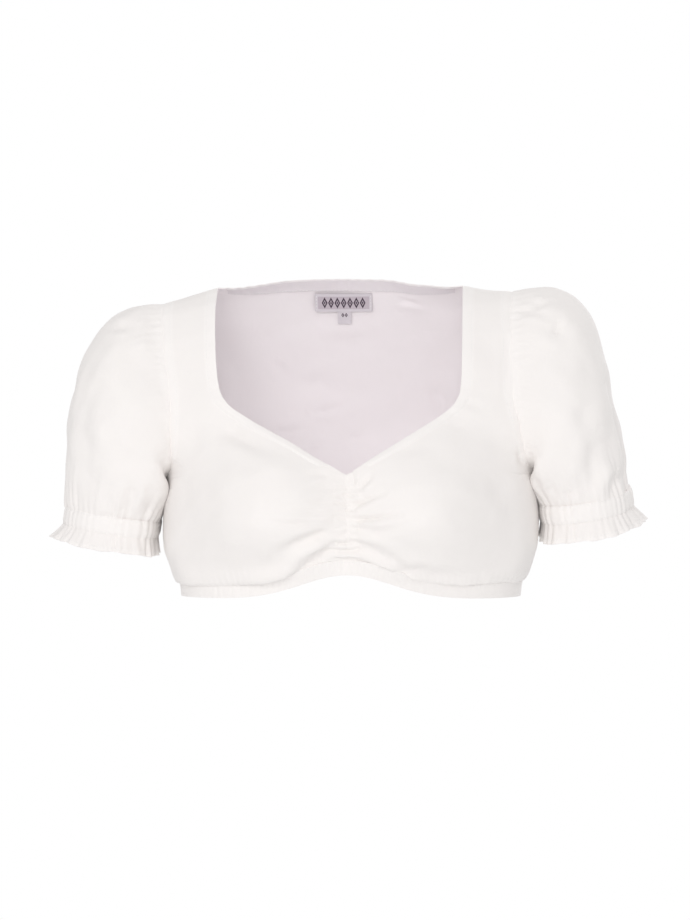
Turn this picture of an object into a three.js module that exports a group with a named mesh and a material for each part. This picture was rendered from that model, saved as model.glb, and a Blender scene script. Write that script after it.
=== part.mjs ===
// A short white folk blouse, as it hangs on its wearer: two front panels gathered into a ruched centre strip
// under a sweetheart neckline, a plain back, puff sleeves with elastic cuffs and ruffles, and an elastic hem.
// Every cloth piece is a thin closed wall. Millimetres, +Z up, -Y out of the front, +X to the wearer's left.
// The origin is midway between the shoulder seams, at the height of the neck points.
import * as THREE from "three";

const { PI, abs, asin, cos, exp, max, min, pow, sign, sin, sqrt } = Math;

// Cloth and seams
const CLOTH = 1.2; // wall of a single layer
const CASING = 2.0; // wall of a casing with elastic in it
const TRIM = 1.0; // wall of a facing or label
const SEAM_GAP = 0.3;

// The shoulders and the neckline
const NECK_HALF = 102.6; // neck point, from the centre line
const SHOULDER_HALF = 146; // shoulder tip, from the centre line
const SHOULDER_SLOPE = 0.22;
const NAPE_RISE = 38; // how far the back surface rises over the neck points at the centre
const NAPE_DROP = 24.5; // the back neck edge at the centre, below that rise
const RIDGE_FADE = 120; // the drop below which the shoulder line no longer shapes the torso
const ROUNDNESS = 0.8; // exponent of the torso's rings: 1 is an ellipse, smaller is squarer

// The hem
const HEM_BAND = 12; // height of the hem casing
const HEM_TOP = 246; // drop of its upper edge at the sides
const HEM_ARCH = 20; // how far it arches up at the centre front
const HEM_ARCH_WIDTH = 52;
const BACK_HEM_ARCH = 21;

// The gathered centre front
const STRIP_HALF = 9.5;
const PANEL_START = STRIP_HALF + 0.45; // inner edge of a front panel beside the strip
const STRIP_RIDGES = 10;
const V_DROP = 157.5; // point of the neckline
const V_SLOPE = 0.594;

// The bust cups that the front is cut to
const CUP = { x: 70, drop: 190, reachX: 95, reachUp: 88, reachDown: 62, depth: 40 };

// The sleeves
const CUFF = { foreRadius: 45, splayDegrees: 9 };
const CUFF_BAND = 12.6;
const CUFF_SEAM = 0.7; // room between the gathered edges of sleeve, casing and ruffle
const CUFF_WAVES = 20;
const RUFFLE = { length: 16.5, flare: 6, outerFlare: 3.5, wave: 2.6 };

// How each arm carries its sleeve: the cuff's centre and half-width and the tilt of the arm, then how much
// fuller the head of the sleeve stands out and up and how much more it puffs at the outside
const RIGHT_CUFF = { x: 200.5, z: -187, acrossRadius: 39, backDegrees: 3 };
const LEFT_CUFF = { x: 197, z: -176.5, acrossRadius: 37, backDegrees: 9 };
const ARMS = [
  { hand: "right", side: -1, ...RIGHT_CUFF, headOut: 0, headUp: 0, outerPuff: 1 },
  { hand: "left", side: 1, ...LEFT_CUFF, headOut: 25, headUp: 14, outerPuff: -32 },
];
const HEAD_GATHERS = 9;
const HEAD_SPREAD = 0.15; // share of the armhole, each way from the shoulder tip, that is gathered

// How the blouse sits: the hem leans to the wearer's left, the left shoulder is carried a little higher, the
// neck opening has slid a little to the left and the whole turns a little to the right.
const SIT = { lean: 11.4, leanFrom: 20, leanTo: 175, roll: 5.5, rollAt: 150, rollHeight: 260 };
const SIT_TURN_DEGREES = 2.2;
const NECK_SLIDE = { x: 3.2, from: 30, to: 95 };

// Half-width and the two half-depths of the torso at each drop below the shoulder line
const TORSO = [
  { drop: 0, half: 178, front: 0, back: 0 },
  { drop: 3, half: 178, front: 14.5, back: 15 },
  { drop: 8, half: 178, front: 23.5, back: 25 },
  { drop: 16, half: 178, front: 33, back: 36 },
  { drop: 30, half: 178, front: 44.5, back: 50 },
  { drop: 50, half: 177, front: 56, back: 66 },
  { drop: 80, half: 176, front: 69, back: 84 },
  { drop: 112, half: 167, front: 81, back: 97 },
  { drop: 140, half: 158, front: 91, back: 103 },
  { drop: 160, half: 154.5, front: 96, back: 102 },
  { drop: 178, half: 156, front: 97, back: 100 },
  { drop: 199, half: 157, front: 98, back: 98 },
  { drop: 216, half: 156, front: 98, back: 95 },
  { drop: 229, half: 152.5, front: 97, back: 92.5 },
  { drop: 237, half: 149, front: 95.5, back: 90.5 },
  { drop: 246, half: 143, front: 93, back: 87.5 },
  { drop: 262, half: 141, front: 91, back: 85 },
];

// The armhole's front and back edges, from the centre line; at its last drop it meets the side seam.
const ARMHOLE = [
  { drop: 0, front: 146, back: 146 },
  { drop: 40, front: 144.5, back: 145.5 },
  { drop: 94, front: 142, back: 147 },
  { drop: 126, front: 144, back: 149 },
  { drop: 143, front: 146.5, back: 150.5 },
  { drop: 152, front: 150, back: 152 },
  { drop: 158, front: 153.3, back: 153.6 },
  { drop: 160.5, front: 154.5, back: 154.5 },
];
const UNDERARM = 160.5;

// Sections of a front panel, from the hem seam to the shoulder seam: its inner edge runs up the centre strip,
// along the neckline and up the strap, and its outer edge up the side seam and the armhole.
const FRONT = [
  { innerX: PANEL_START, innerDrop: 226, outerDrop: 245.7 },
  { innerX: PANEL_START, innerDrop: 219, outerDrop: 239 },
  { innerX: PANEL_START, innerDrop: 207, outerDrop: 227 },
  { innerX: PANEL_START, innerDrop: 190, outerDrop: 207 },
  { innerX: PANEL_START, innerDrop: 171, outerDrop: 184 },
  { innerX: PANEL_START, innerDrop: 151.7, outerDrop: UNDERARM },
  { innerX: 30, innerDrop: 139.7, outerDrop: 152.5 },
  { innerX: 52, innerDrop: 126.6, outerDrop: 143 },
  { innerX: 72, innerDrop: 114.7, outerDrop: 131 },
  { innerX: 91.5, innerDrop: 101.5, outerDrop: 114 },
  { innerX: 98, innerDrop: 91, outerDrop: 101 },
  { innerX: 100.3, innerDrop: 78, outerDrop: 87 },
  { innerX: 101.3, innerDrop: 58, outerDrop: 65 },
  { innerX: 102.2, innerDrop: 36, outerDrop: 41 },
  { innerX: NECK_HALF, innerDrop: 18, outerDrop: 20 },
  { innerX: NECK_HALF, innerDrop: 7, outerDrop: 8 },
  { innerX: NECK_HALF, innerDrop: 2, outerDrop: 2.2 },
  { innerX: NECK_HALF, innerDrop: 0, outerDrop: 0 },
];

// The largest folds of the front, as troughs from one point to another; x is positive on the wearer's left.
const FOLDS = [
  { x0: -9, drop0: 200, x1: -52, drop1: 219, width: 6, depth: 3.2 },
  { x0: -12, drop0: 214, x1: -50, drop1: 236, width: 7, depth: 4.5 },
  { x0: -9, drop0: 194, x1: -66, drop1: 191, width: 5, depth: 1.6 },
  { x0: 9, drop0: 192, x1: 36, drop1: 190, width: 5, depth: 2.4 },
  { x0: 11, drop0: 168, x1: 30, drop1: 150, width: 5, depth: 2 },
  { x0: 8, drop0: 182, x1: 24, drop1: 173, width: 4, depth: 2 },
  { x0: 9, drop0: 216, x1: 48, drop1: 227, width: 6, depth: 3.4 },
  { x0: 38, drop0: 234, x1: 102, drop1: 241, width: 7, depth: 4 },
];

// Handles of the curves that carry the sleeve from the armhole to the cuff, at shares of the way round from
// the shoulder tip over the front: seam is the room at the armhole, out, fore and up leave it, and rise and
// puff arrive at the cuff.
const SLEEVE = [
  { around: 0, seam: 1, out: 58, fore: 0, up: 12, rise: 112, puff: 23 },
  { around: 0.125, seam: 1.1, out: 48, fore: 20, up: 10, rise: 86, puff: 26 },
  { around: 0.25, seam: 1.3, out: 34, fore: 20, up: 2, rise: 58, puff: 26 },
  { around: 0.375, seam: 1.5, out: 17, fore: 14, up: -4, rise: 38, puff: 19 },
  { around: 0.5, seam: 1.5, out: 9, fore: 0, up: 1, rise: 14, puff: -1 },
  { around: 0.625, seam: 1.6, out: 17, fore: -14, up: -4, rise: 38, puff: 17 },
  { around: 0.75, seam: 1.6, out: 32, fore: -18, up: 2, rise: 58, puff: 26 },
  { around: 0.875, seam: 1.1, out: 48, fore: -20, up: 10, rise: 86, puff: 26 },
  { around: 1, seam: 1, out: 58, fore: 0, up: 12, rise: 112, puff: 23 },
];

const WHITE = { color: "#f3f0ed", roughness: 0.9, metalness: 0 };
const LABEL = { color: "#cfc4cc", roughness: 0.8, metalness: 0 };

const radians = (degrees) => (degrees * PI) / 180;
const mix = (a, b, t) => a + (b - a) * t;
const clamp01 = (t) => min(max(t, 0), 1);
const ease = (from, to, at) => {
  const t = clamp01((at - from) / (to - from));
  return t * t * (3 - 2 * t);
};
const count = (n) => Array.from({ length: n }, (_, i) => i);
const steps = (n, from = 0, to = 1) => count(n + 1).map((i) => mix(from, to, i / n));

// A smooth curve through one column of a table that never overshoots its rows (monotone cubic)
function curveOf(table, column, key, scale = (k) => k) {
  const x = table.map((row, i) => (key ? scale(row[key]) : i));
  const y = table.map((row) => row[column]);
  const last = x.length - 1;
  const slope = count(last).map((i) => (y[i + 1] - y[i]) / (x[i + 1] - x[i]));
  const tangent = x.map((_, i) => {
    if (i === 0) return slope[0];
    if (i === last) return slope[last - 1];
    const [a, b] = [slope[i - 1], slope[i]];
    return a * b <= 0 ? 0 : (2 * a * b) / (a + b);
  });
  return (at) => {
    const s = min(max(scale(at), x[0]), x[last]);
    let i = 0;
    while (i < last - 1 && s > x[i + 1]) i += 1;
    const w = x[i + 1] - x[i];
    const t = (s - x[i]) / w;
    const [t2, t3] = [t * t, t * t * t];
    return (
      (2 * t3 - 3 * t2 + 1) * y[i] +
      (t3 - 2 * t2 + t) * w * tangent[i] +
      (3 * t2 - 2 * t3) * y[i + 1] +
      (t3 - t2) * w * tangent[i + 1]
    );
  };
}

// Lean, roll and turn of the worn blouse, applied to every point
function worn(x, y, z) {
  const central = 1 - min(abs(x) / SHOULDER_HALF, 1) ** 4;
  const slide = NECK_SLIDE.x * central * (1 - ease(NECK_SLIDE.from, NECK_SLIDE.to, -z));
  const lean = SIT.lean * ease(SIT.leanFrom, SIT.leanTo, -z) + slide;
  const out = min(abs(x) / SIT.rollAt, 1.12);
  const roll = SIT.roll * sign(x) * out ** 5 * clamp01(1 + z / SIT.rollHeight);
  const turn = radians(SIT_TURN_DEGREES);
  return new THREE.Vector3(x * cos(turn) + y * sin(turn) + lean, y * cos(turn) - x * sin(turn), z + roll);
}

// Torso surface, by angle from the centre line and drop below the shoulder line
const torsoHalf = curveOf(TORSO, "half", "drop", sqrt);
const torsoFront = curveOf(TORSO, "front", "drop", sqrt);
const torsoBack = curveOf(TORSO, "back", "drop", sqrt);
const armholeFront = curveOf(ARMHOLE, "front", "drop");
const armholeBack = curveOf(ARMHOLE, "back", "drop");

// Round a ring by length: every ring is spaced as the one at the bust is
const RING_DROP = 200;
const ringPoint = (angle) => [
  torsoHalf(RING_DROP) * sin(angle) ** ROUNDNESS,
  torsoFront(RING_DROP) * max(cos(angle), 0) ** ROUNDNESS,
];
const RING = steps(120, 0, PI / 2).reduce((rows, angle) => {
  const [x, y] = ringPoint(angle);
  const last = rows.at(-1);
  const length = last ? last.length + Math.hypot(x - last.x, y - last.y) : 0;
  return [...rows, { angle, length, x, y }];
}, []);
const ringLength = curveOf(RING, "length", "angle");
const ringAngle = curveOf(RING, "angle", "length");
const RING_LENGTH = RING.at(-1).length;
const angleAt = (x, drop) => sign(x) * asin(min(abs(x) / torsoHalf(drop), 1) ** (1 / ROUNDNESS));
const shareAt = (x, drop) => ringLength(abs(angleAt(x, drop))) / RING_LENGTH;
const sideX = (drop, edge) => (drop >= UNDERARM ? torsoHalf(drop) : edge(drop));

function heightAt(x, drop, isBack) {
  const fade = 1 - ease(0, RIDGE_FADE, drop);
  const beyond = max(abs(x) - NECK_HALF, 0);
  const nape = isBack && abs(x) < NECK_HALF ? NAPE_RISE * cos((PI * x) / (2 * NECK_HALF)) ** 2 : 0;
  return (nape - SHOULDER_SLOPE * beyond) * fade - drop;
}

function cupAt(x, drop) {
  const away = drop - CUP.drop;
  const reach = away > 0 ? CUP.reachDown : CUP.reachUp;
  const r = Math.hypot((abs(x) - CUP.x) / CUP.reachX, away / reach);
  return r < 1 ? CUP.depth * cos((PI * r) / 2) ** 2 : 0;
}

function foldAt(x, drop) {
  return FOLDS.reduce((sum, f) => {
    const [dx, dd] = [f.x1 - f.x0, f.drop1 - f.drop0];
    const length = Math.hypot(dx, dd);
    const along = ((x - f.x0) * dx + (drop - f.drop0) * dd) / length ** 2;
    const across = ((x - f.x0) * dd - (drop - f.drop0) * dx) / length;
    const taper = ease(-0.12, 0.12, along) * (1 - ease(0.6, 1.1, along));
    return sum + f.depth * taper * exp(-((across / f.width) ** 2));
  }, 0);
}

function frontPoint(angle, drop, lift = 0) {
  const x = sign(angle) * torsoHalf(drop) * pow(sin(abs(angle)), ROUNDNESS);
  const reach = torsoFront(drop) + cupAt(x, drop) - foldAt(x, drop) + lift;
  const depth = reach * pow(max(cos(angle), 0), ROUNDNESS);
  return worn(x, -SEAM_GAP / 2 - depth, heightAt(x, drop, false));
}

function backPoint(angle, drop, lift = 0) {
  const x = sign(angle) * torsoHalf(drop) * pow(sin(abs(angle)), ROUNDNESS);
  const depth = (torsoBack(drop) + lift) * pow(max(cos(angle), 0), ROUNDNESS);
  return worn(x, SEAM_GAP / 2 + depth, heightAt(x, drop, true));
}

const hemX = (angle) => torsoHalf(HEM_TOP) * sin(abs(angle)) ** ROUNDNESS;
const hemFront = (angle) => HEM_TOP - HEM_ARCH * exp(-((hemX(angle) / HEM_ARCH_WIDTH) ** 2));
const hemBack = (share) => HEM_TOP - BACK_HEM_ARCH * cos((PI * share) / 2) ** 2;
// Small gathers where a panel is drawn in by an elastic seam
const gather = (turns, fade, size) => size * cos(2 * PI * turns) * fade;

// Walls. rows holds the sections as { v, us }; surface(u, v) is the middle of the cloth, and each row may
// have its own number of points. Both faces are the surface moved half the wall along its normal.
const NUDGE = 1e-3;

function wallGeometry(surface, rows, { thickness = CLOTH, closed = false, lift = 0, flip = false } = {}) {
  const position = [];
  const index = [];
  const push = (p) => position.push(p.x, p.y, p.z) / 3 - 1;
  const side = flip ? -1 : 1;
  const normalAt = (u, v) => {
    const [ua, ub] = closed ? [u - NUDGE, u + NUDGE] : [max(u - NUDGE, 0), min(u + NUDGE, 1)];
    const [va, vb] = [max(v - NUDGE, 0), min(v + NUDGE, 1)];
    const along = surface(ub, v).sub(surface(ua, v));
    const up = surface(u, vb).sub(surface(u, va));
    return along.cross(up).normalize().multiplyScalar(side);
  };
  const grid = rows.map(({ v, us }) =>
    us.map((u) => {
      const middle = surface(u, v);
      const normal = normalAt(u, v);
      return {
        outer: push(middle.clone().addScaledVector(normal, lift + thickness / 2)),
        inner: push(middle.clone().addScaledVector(normal, lift - thickness / 2)),
      };
    }),
  );
  const face = (a, b, c) => (flip ? index.push(a, c, b) : index.push(a, b, c));
  const looped = (row) => (closed ? [...row, row[0]] : row);
  const places = (us) => (closed ? [...us, us[0] + 1] : us);

  for (let r = 0; r + 1 < rows.length; r += 1) {
    const [low, high] = [looped(grid[r]), looped(grid[r + 1])];
    const [lowU, highU] = [places(rows[r].us), places(rows[r + 1].us)];
    let [i, j] = [0, 0];
    while (i + 1 < low.length || j + 1 < high.length) {
      const stepLow = j + 1 >= high.length || (i + 1 < low.length && lowU[i + 1] <= highU[j + 1] + 1e-9);
      const third = stepLow ? low[i + 1] : high[j + 1];
      face(low[i].outer, third.outer, high[j].outer);
      face(low[i].inner, high[j].inner, third.inner);
      if (stepLow) i += 1;
      else j += 1;
    }
  }
  const rim = (a, b) => {
    face(a.outer, a.inner, b.outer);
    face(b.outer, a.inner, b.inner);
  };
  const [bottom, top] = [looped(grid[0]), looped(grid.at(-1))];
  for (let i = 0; i + 1 < bottom.length; i += 1) rim(bottom[i], bottom[i + 1]);
  for (let i = 0; i + 1 < top.length; i += 1) rim(top[i + 1], top[i]);
  if (!closed) {
    for (let r = 0; r + 1 < grid.length; r += 1) {
      rim(grid[r + 1][0], grid[r][0]);
      rim(grid[r].at(-1), grid[r + 1].at(-1));
    }
  }
  const geometry = new THREE.BufferGeometry();
  geometry.setAttribute("position", new THREE.Float32BufferAttribute(position, 3));
  geometry.setIndex(index);
  geometry.computeVertexNormals();
  return geometry;
}

const blouse = new THREE.Group();

function piece(name, geometry, look = WHITE) {
  const mesh = new THREE.Mesh(geometry, new THREE.MeshStandardMaterial({ ...look, side: THREE.DoubleSide }));
  mesh.name = name;
  blouse.add(mesh);
}

// The columns of a row: the grid's places between its two ends, and the ends
function columnsBetween(from, to, grid) {
  const margin = 0.3 / grid;
  const inside = steps(grid).filter((place) => place > from + margin && place < to - margin);
  return [from, ...inside, to];
}

// Front panels: u is the share of the way round from the centre line to the side seam, and v runs from hem
// to shoulder.
const straight = (column) => (section) => {
  const row = min(Math.floor(section), FRONT.length - 2);
  return mix(FRONT[row][column], FRONT[row + 1][column], section - row);
};
const frontInnerX = straight("innerX");
const frontInnerDrop = straight("innerDrop");
const frontOuterDrop = straight("outerDrop");
const FRONT_LAST = FRONT.length - 1;
const FRONT_HEM_GATHERS = 7;
const HEM_GATHER_PEAK = 0.05; // share of a panel's height at which its hem gathers are deepest
const HEM_GATHER_FADE = 0.13; // and that at which they have faded

function frontEnds(v) {
  const section = v * FRONT_LAST;
  const [innerDrop, outerDrop] = [frontInnerDrop(section), frontOuterDrop(section)];
  const from = shareAt(frontInnerX(section), innerDrop);
  const to = shareAt(sideX(outerDrop, armholeFront), outerDrop);
  return { from, to, innerDrop, outerDrop };
}

function frontSurface(side) {
  return (u, v) => {
    const { from, to, innerDrop, outerDrop } = frontEnds(v);
    const along = (u - from) / (to - from);
    const angle = ringAngle(u * RING_LENGTH);
    const arch = hemFront(angle) - SEAM_GAP - mix(frontInnerDrop(0), frontOuterDrop(0), along);
    const drop = mix(innerDrop, outerDrop, along) + arch * (1 - ease(0, 0.22, v));
    const fade = ease(0, HEM_GATHER_PEAK, v) * (1 - ease(HEM_GATHER_PEAK, HEM_GATHER_FADE, v));
    return frontPoint(side * angle, drop, gather(u * FRONT_HEM_GATHERS, fade, 1.3) * ease(0.05, 0.2, u));
  };
}

const PANEL_GRID = 17; // columns from the centre line to the side
const NECK_FACING_ROWS = [5.25, 5.5, 6, 6.5, 7, 7.5, 8, 8.6, 9.2, 9.7, 10.3];

function frontRows() {
  const low = [0, 0.4, 0.85, 1.3];
  const high = [1.7, 2.1, 2.5, 3, 3.5, 4, 4.5, 5, 5.08, ...NECK_FACING_ROWS, 11, 11.7, 12.5, 13.2, 14];
  const top = [14.6, 15.2, 15.8, 16.4, 17];
  const row = (grid) => (section) => {
    const v = section / FRONT_LAST;
    const { from, to } = frontEnds(v);
    return { v, us: columnsBetween(from, to, grid) };
  };
  return [...low.map(row(FRONT_HEM_GATHERS * 4)), ...[...high, ...top].map(row(PANEL_GRID))];
}

// The facing turned out along the sweetheart edge, on the panel from the centre strip to the neck corner
const NECK_FACING = 9;

function neckFacing(name, side) {
  const panel = frontSurface(side);
  const stretch = 0.02;
  const surface = (u, v) => {
    const { from } = frontEnds(v);
    const edge = panel(from, v);
    const across = panel(from + stretch, v).sub(edge);
    const higher = panel(frontEnds(v + NUDGE).from, v + NUDGE);
    const slant = higher.sub(panel(frontEnds(v - NUDGE).from, v - NUDGE));
    const square = max(across.clone().cross(slant).length() / across.length() / slant.length(), 0.5);
    return panel(from + (stretch * (0.3 + u * NECK_FACING)) / (across.length() * square), v);
  };
  const rows = NECK_FACING_ROWS.map((section) => ({ v: section / FRONT_LAST, us: [0, 0.5, 1] }));
  const lift = CLOTH / 2 + SEAM_GAP + TRIM / 2;
  piece(name, wallGeometry(surface, rows, { thickness: TRIM, lift, flip: side < 0 }));
}

// The ruched strip between the front panels
function centreStrip() {
  const half = STRIP_HALF;
  const surface = (u, v) => {
    const x = mix(-half, half, u);
    const topDrop = V_DROP - V_SLOPE * abs(x);
    const bottomDrop = hemFront(angleAt(x, HEM_TOP)) - SEAM_GAP;
    const drop = mix(bottomDrop, topDrop, v);
    const edge = 1 - 0.45 * (abs(x) / half) ** 2;
    const fade = ease(0, 0.06, v) * (1 - ease(0.94, 1, v));
    const ridge = 1.5 * edge * fade * cos(2 * PI * STRIP_RIDGES * v + 0.9 * sin((5 * x) / half));
    return frontPoint(angleAt(x, drop), drop, ridge);
  };
  const rows = steps(STRIP_RIDGES * 4).map((v) => ({ v, us: [0, 0.25, 0.5, 0.75, 1] }));
  piece("centre_strip", wallGeometry(surface, rows));
}

// Back panel: u runs round from the wearer's right side to the left one, and v from hem to shoulders.
const NECK_SHARE = shareAt(NECK_HALF, 0);
const BACK_HEM_GATHERS = 14;
const BACK_CASING_ROWS = [0.83, 0.89, 0.94, 0.975];

const backClimb = (v) => 1 - (1 - v) ** 1.7;
function backEnd(v) {
  const drop = (HEM_TOP - SEAM_GAP) * (1 - backClimb(v));
  return shareAt(sideX(drop, armholeBack), drop);
}

function backSurface(u, v) {
  const share = min(abs(2 * u - 1), 1);
  const angle = ringAngle(share * RING_LENGTH);
  const topX = torsoHalf(0) * sin(angle) ** ROUNDNESS;
  const topDrop = NAPE_DROP * cos((PI * min(topX / NECK_HALF, 1)) / 2) ** 2;
  const hem = hemBack(min(share / backEnd(v), 1)) - SEAM_GAP;
  const fade = ease(0, 0.012, v) * (1 - ease(0.012, 0.06, v));
  const drop = mix(hem, topDrop, backClimb(v));
  return backPoint(sign(2 * u - 1) * angle, drop, gather(u * BACK_HEM_GATHERS, fade, 1.3));
}

function mirrored(half) {
  const near = half.map((t) => (1 + t) / 2);
  const far = half.slice(1).map((t) => (1 - t) / 2);
  return [...far.reverse(), ...near];
}

function backRows() {
  const low = [0, 0.015, 0.032, 0.055];
  const underarm = [0.222, 0.26, 0.27, 0.285, 0.31, 0.35];
  const high = [0.08, 0.125, 0.175, ...underarm, 0.42, 0.5, 0.59, 0.68, 0.76, ...BACK_CASING_ROWS];
  const row = (grid) => (v) => ({ v, us: mirrored(columnsBetween(0, backEnd(v), grid)) });
  const neck = steps(8, 0, NECK_SHARE);
  const shoulder = columnsBetween(NECK_SHARE, backEnd(1), PANEL_GRID).slice(1);
  return [
    ...low.map(row(BACK_HEM_GATHERS * 2)),
    ...high.map(row(PANEL_GRID)),
    { v: 1, us: mirrored([...neck, ...shoulder]) },
  ];
}

// Inside the back: the casing along the neck edge, the label over it and the tag under the label
const BACK_CASING_LIFT = CLOTH / 2 + SEAM_GAP + TRIM / 2;
const LABEL_LIFT = BACK_CASING_LIFT + TRIM + 0.45;

function backNeckCasing() {
  const us = mirrored(columnsBetween(0, 0.95 * NECK_SHARE, PANEL_GRID));
  const rows = [...BACK_CASING_ROWS, 0.993].map((v) => ({ v, us }));
  const wall = { thickness: TRIM, lift: -BACK_CASING_LIFT, flip: true };
  piece("back_neck_casing", wallGeometry(backSurface, rows, wall));
}

// The drop at which the back surface is at a height, by halving
function backDropAt(x, height) {
  let [above, below] = [0, 120];
  for (let i = 0; i < 24; i += 1) {
    const middle = (above + below) / 2;
    if (heightAt(x, middle, true) > height) above = middle;
    else below = middle;
  }
  return (above + below) / 2;
}

function insideBack(name, { x0, x1, top, bottom, columns }) {
  const surface = (u, v) => {
    const x = mix(x0, x1, u);
    const drop = backDropAt(x, mix(bottom, top, v));
    return backPoint(angleAt(x, drop), drop);
  };
  const rows = steps(3).map((v) => ({ v, us: steps(columns) }));
  piece(name, wallGeometry(surface, rows, { thickness: TRIM, lift: -LABEL_LIFT, flip: true }), LABEL);
}

// Hem casing, front and back halves
function hemBand(name, isBack, gathers) {
  const surface = (u, v) => {
    const round = (2 * u - 1) * RING_LENGTH;
    const angle = sign(round) * ringAngle(abs(round));
    const top = isBack ? hemBack(abs(2 * u - 1)) : hemFront(angle);
    const drop = top + HEM_BAND * (1 - v);
    const fade = ease(0, 0.04, u) * (1 - ease(0.96, 1, u));
    const lift = gather(u * gathers, fade, 0.5);
    return isBack ? backPoint(angle, drop, lift) : frontPoint(angle, drop, lift);
  };
  const rows = [0, 1].map((v) => ({ v, us: steps(gathers * 4) }));
  piece(name, wallGeometry(surface, rows, { thickness: CASING, flip: isBack }));
}

// The armhole as a closed curve, by share of its length round from the shoulder tip over the front
function armholeCurve(side) {
  const dense = 240;
  const half = (edge, point) =>
    steps(dense).map((t) => {
      const drop = UNDERARM * t * t;
      return point(side * angleAt(sideX(drop, edge) * 0.99999, drop), drop);
    });
  const line = [...half(armholeFront, frontPoint), ...half(armholeBack, backPoint).reverse().slice(1)];
  const length = [0];
  line.slice(1).forEach((p, i) => length.push(length[i] + p.distanceTo(line[i])));
  return (share) => {
    const at = (share - Math.floor(share)) * length.at(-1);
    let i = 0;
    while (length[i + 1] < at) i += 1;
    return line[i].clone().lerp(line[i + 1], (at - length[i]) / (length[i + 1] - length[i]));
  };
}

const sleeveSeam = curveOf(SLEEVE, "seam", "around");
const sleeveOut = curveOf(SLEEVE, "out", "around");
const sleeveFore = curveOf(SLEEVE, "fore", "around");
const sleeveUp = curveOf(SLEEVE, "up", "around");
const sleeveRise = curveOf(SLEEVE, "rise", "around");
const sleevePuff = curveOf(SLEEVE, "puff", "around");

// Directions of one cuff: down the arm, outward across it and forward across it
function cuffFrame({ side, x, z, acrossRadius, backDegrees }) {
  const [splay, back] = [radians(CUFF.splayDegrees), radians(backDegrees)];
  const plumb = new THREE.Vector3(side * sin(splay), 0, -cos(splay));
  const rear = new THREE.Vector3(0, 1, 0);
  const down = plumb.clone().multiplyScalar(cos(back)).addScaledVector(rear, sin(back));
  const out = new THREE.Vector3(side * cos(splay), 0, sin(splay));
  const fore = plumb.clone().multiplyScalar(sin(back)).addScaledVector(rear, -cos(back));
  return { down, out, fore, centre: new THREE.Vector3(side * x, 0, z), acrossRadius };
}

function cuffPoint({ down, out, fore, centre, acrossRadius }, around, below, grow = 0) {
  const turn = 2 * PI * around;
  return centre
    .clone()
    .addScaledVector(down, below)
    .addScaledVector(out, cos(turn) * (acrossRadius + grow))
    .addScaledVector(fore, sin(turn) * (CUFF.foreRadius + grow));
}

const wear = (p) => worn(p.x, p.y, p.z);
const nearBody = (around) => exp(-(((around - Math.floor(around) - 0.5) / 0.1) ** 2));

function sleeveSurface(arm) {
  const { side } = arm;
  const frame = cuffFrame(arm);
  const armhole = armholeCurve(side);
  return (u, v) => {
    const around = u - Math.floor(u);
    const turn = 2 * PI * around;
    const outer = cos(turn / 2) ** 4;
    const out = sleeveOut(around) + arm.headOut * outer;
    const leave = new THREE.Vector3(side * out, -sleeveFore(around), sleeveUp(around) + arm.headUp * outer);
    const radial = frame.out.clone().multiplyScalar(cos(turn)).addScaledVector(frame.fore, sin(turn));
    const start = armhole(around).addScaledVector(leave.clone().normalize(), sleeveSeam(around));
    const end = wear(cuffPoint(frame, around, 0));
    const first = start.clone().add(leave);
    const puff = sleevePuff(around) + arm.outerPuff * outer;
    const second = end.clone().addScaledVector(frame.down, -sleeveRise(around));
    second.addScaledVector(radial, puff);
    const w = 1 - v;
    const point = start.multiplyScalar(w ** 3);
    point.addScaledVector(first, 3 * w * w * v);
    point.addScaledVector(second, 3 * w * v * v);
    point.addScaledVector(end, v ** 3);
    const fromTop = min(around, 1 - around);
    const head = 1 - ease(HEAD_SPREAD, HEAD_SPREAD + 0.03, fromTop);
    const headFade = head * ease(0, 0.06, v) * (1 - ease(0.08, 0.34, v));
    const folds = 1.7 * headFade * cos((PI * HEAD_GATHERS * fromTop) / HEAD_SPREAD);
    const drawn = ease(0.76, 0.97, v) * (1 - 0.4 * ease(0.97, 1, v));
    const cuffFade = drawn * (1 - 0.6 * nearBody(around));
    const cuffFolds = 1.5 * cuffFade * cos(turn * CUFF_WAVES);
    const lifted = new THREE.Vector3(0, 0, 1).lerp(radial, ease(0, 0.7, v));
    return point.addScaledVector(lifted, folds).addScaledVector(radial, cuffFolds);
  };
}

function sleeveRows() {
  const topStep = 1 / (HEAD_GATHERS * 4);
  const headHalf = steps(HEAD_GATHERS * 2, 0, HEAD_SPREAD);
  const restHalf = steps(9, HEAD_SPREAD + topStep, 1 - HEAD_SPREAD - topStep);
  const head = [...headHalf, ...restHalf, ...headHalf.slice(1).reverse().map((t) => 1 - t)];
  const round = (n) => count(n).map((i) => i / n);
  return [
    ...[0, 0.05, 0.11, 0.2].map((v) => ({ v, us: head })),
    ...[0.31, 0.42, 0.54, 0.65, 0.75].map((v) => ({ v, us: round(40) })),
    ...[0.85, 0.94, 1].map((v) => ({ v, us: round(CUFF_WAVES * 4) })),
  ];
}

function cuffBand(name, arm) {
  const frame = cuffFrame(arm);
  const surface = (u, v) => {
    const below = CUFF_SEAM + v * CUFF_BAND;
    const wave = 0.8 * cos(2 * PI * CUFF_WAVES * u) * (1 - 0.5 * nearBody(u));
    return wear(cuffPoint(frame, u, below, wave + 0.6 * sin(PI * v)));
  };
  const rows = [0, 1].map((v) => ({ v, us: count(CUFF_WAVES * 4).map((i) => i / (CUFF_WAVES * 4)) }));
  piece(name, wallGeometry(surface, rows, { thickness: CASING, closed: true, flip: arm.side > 0 }));
}

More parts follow.
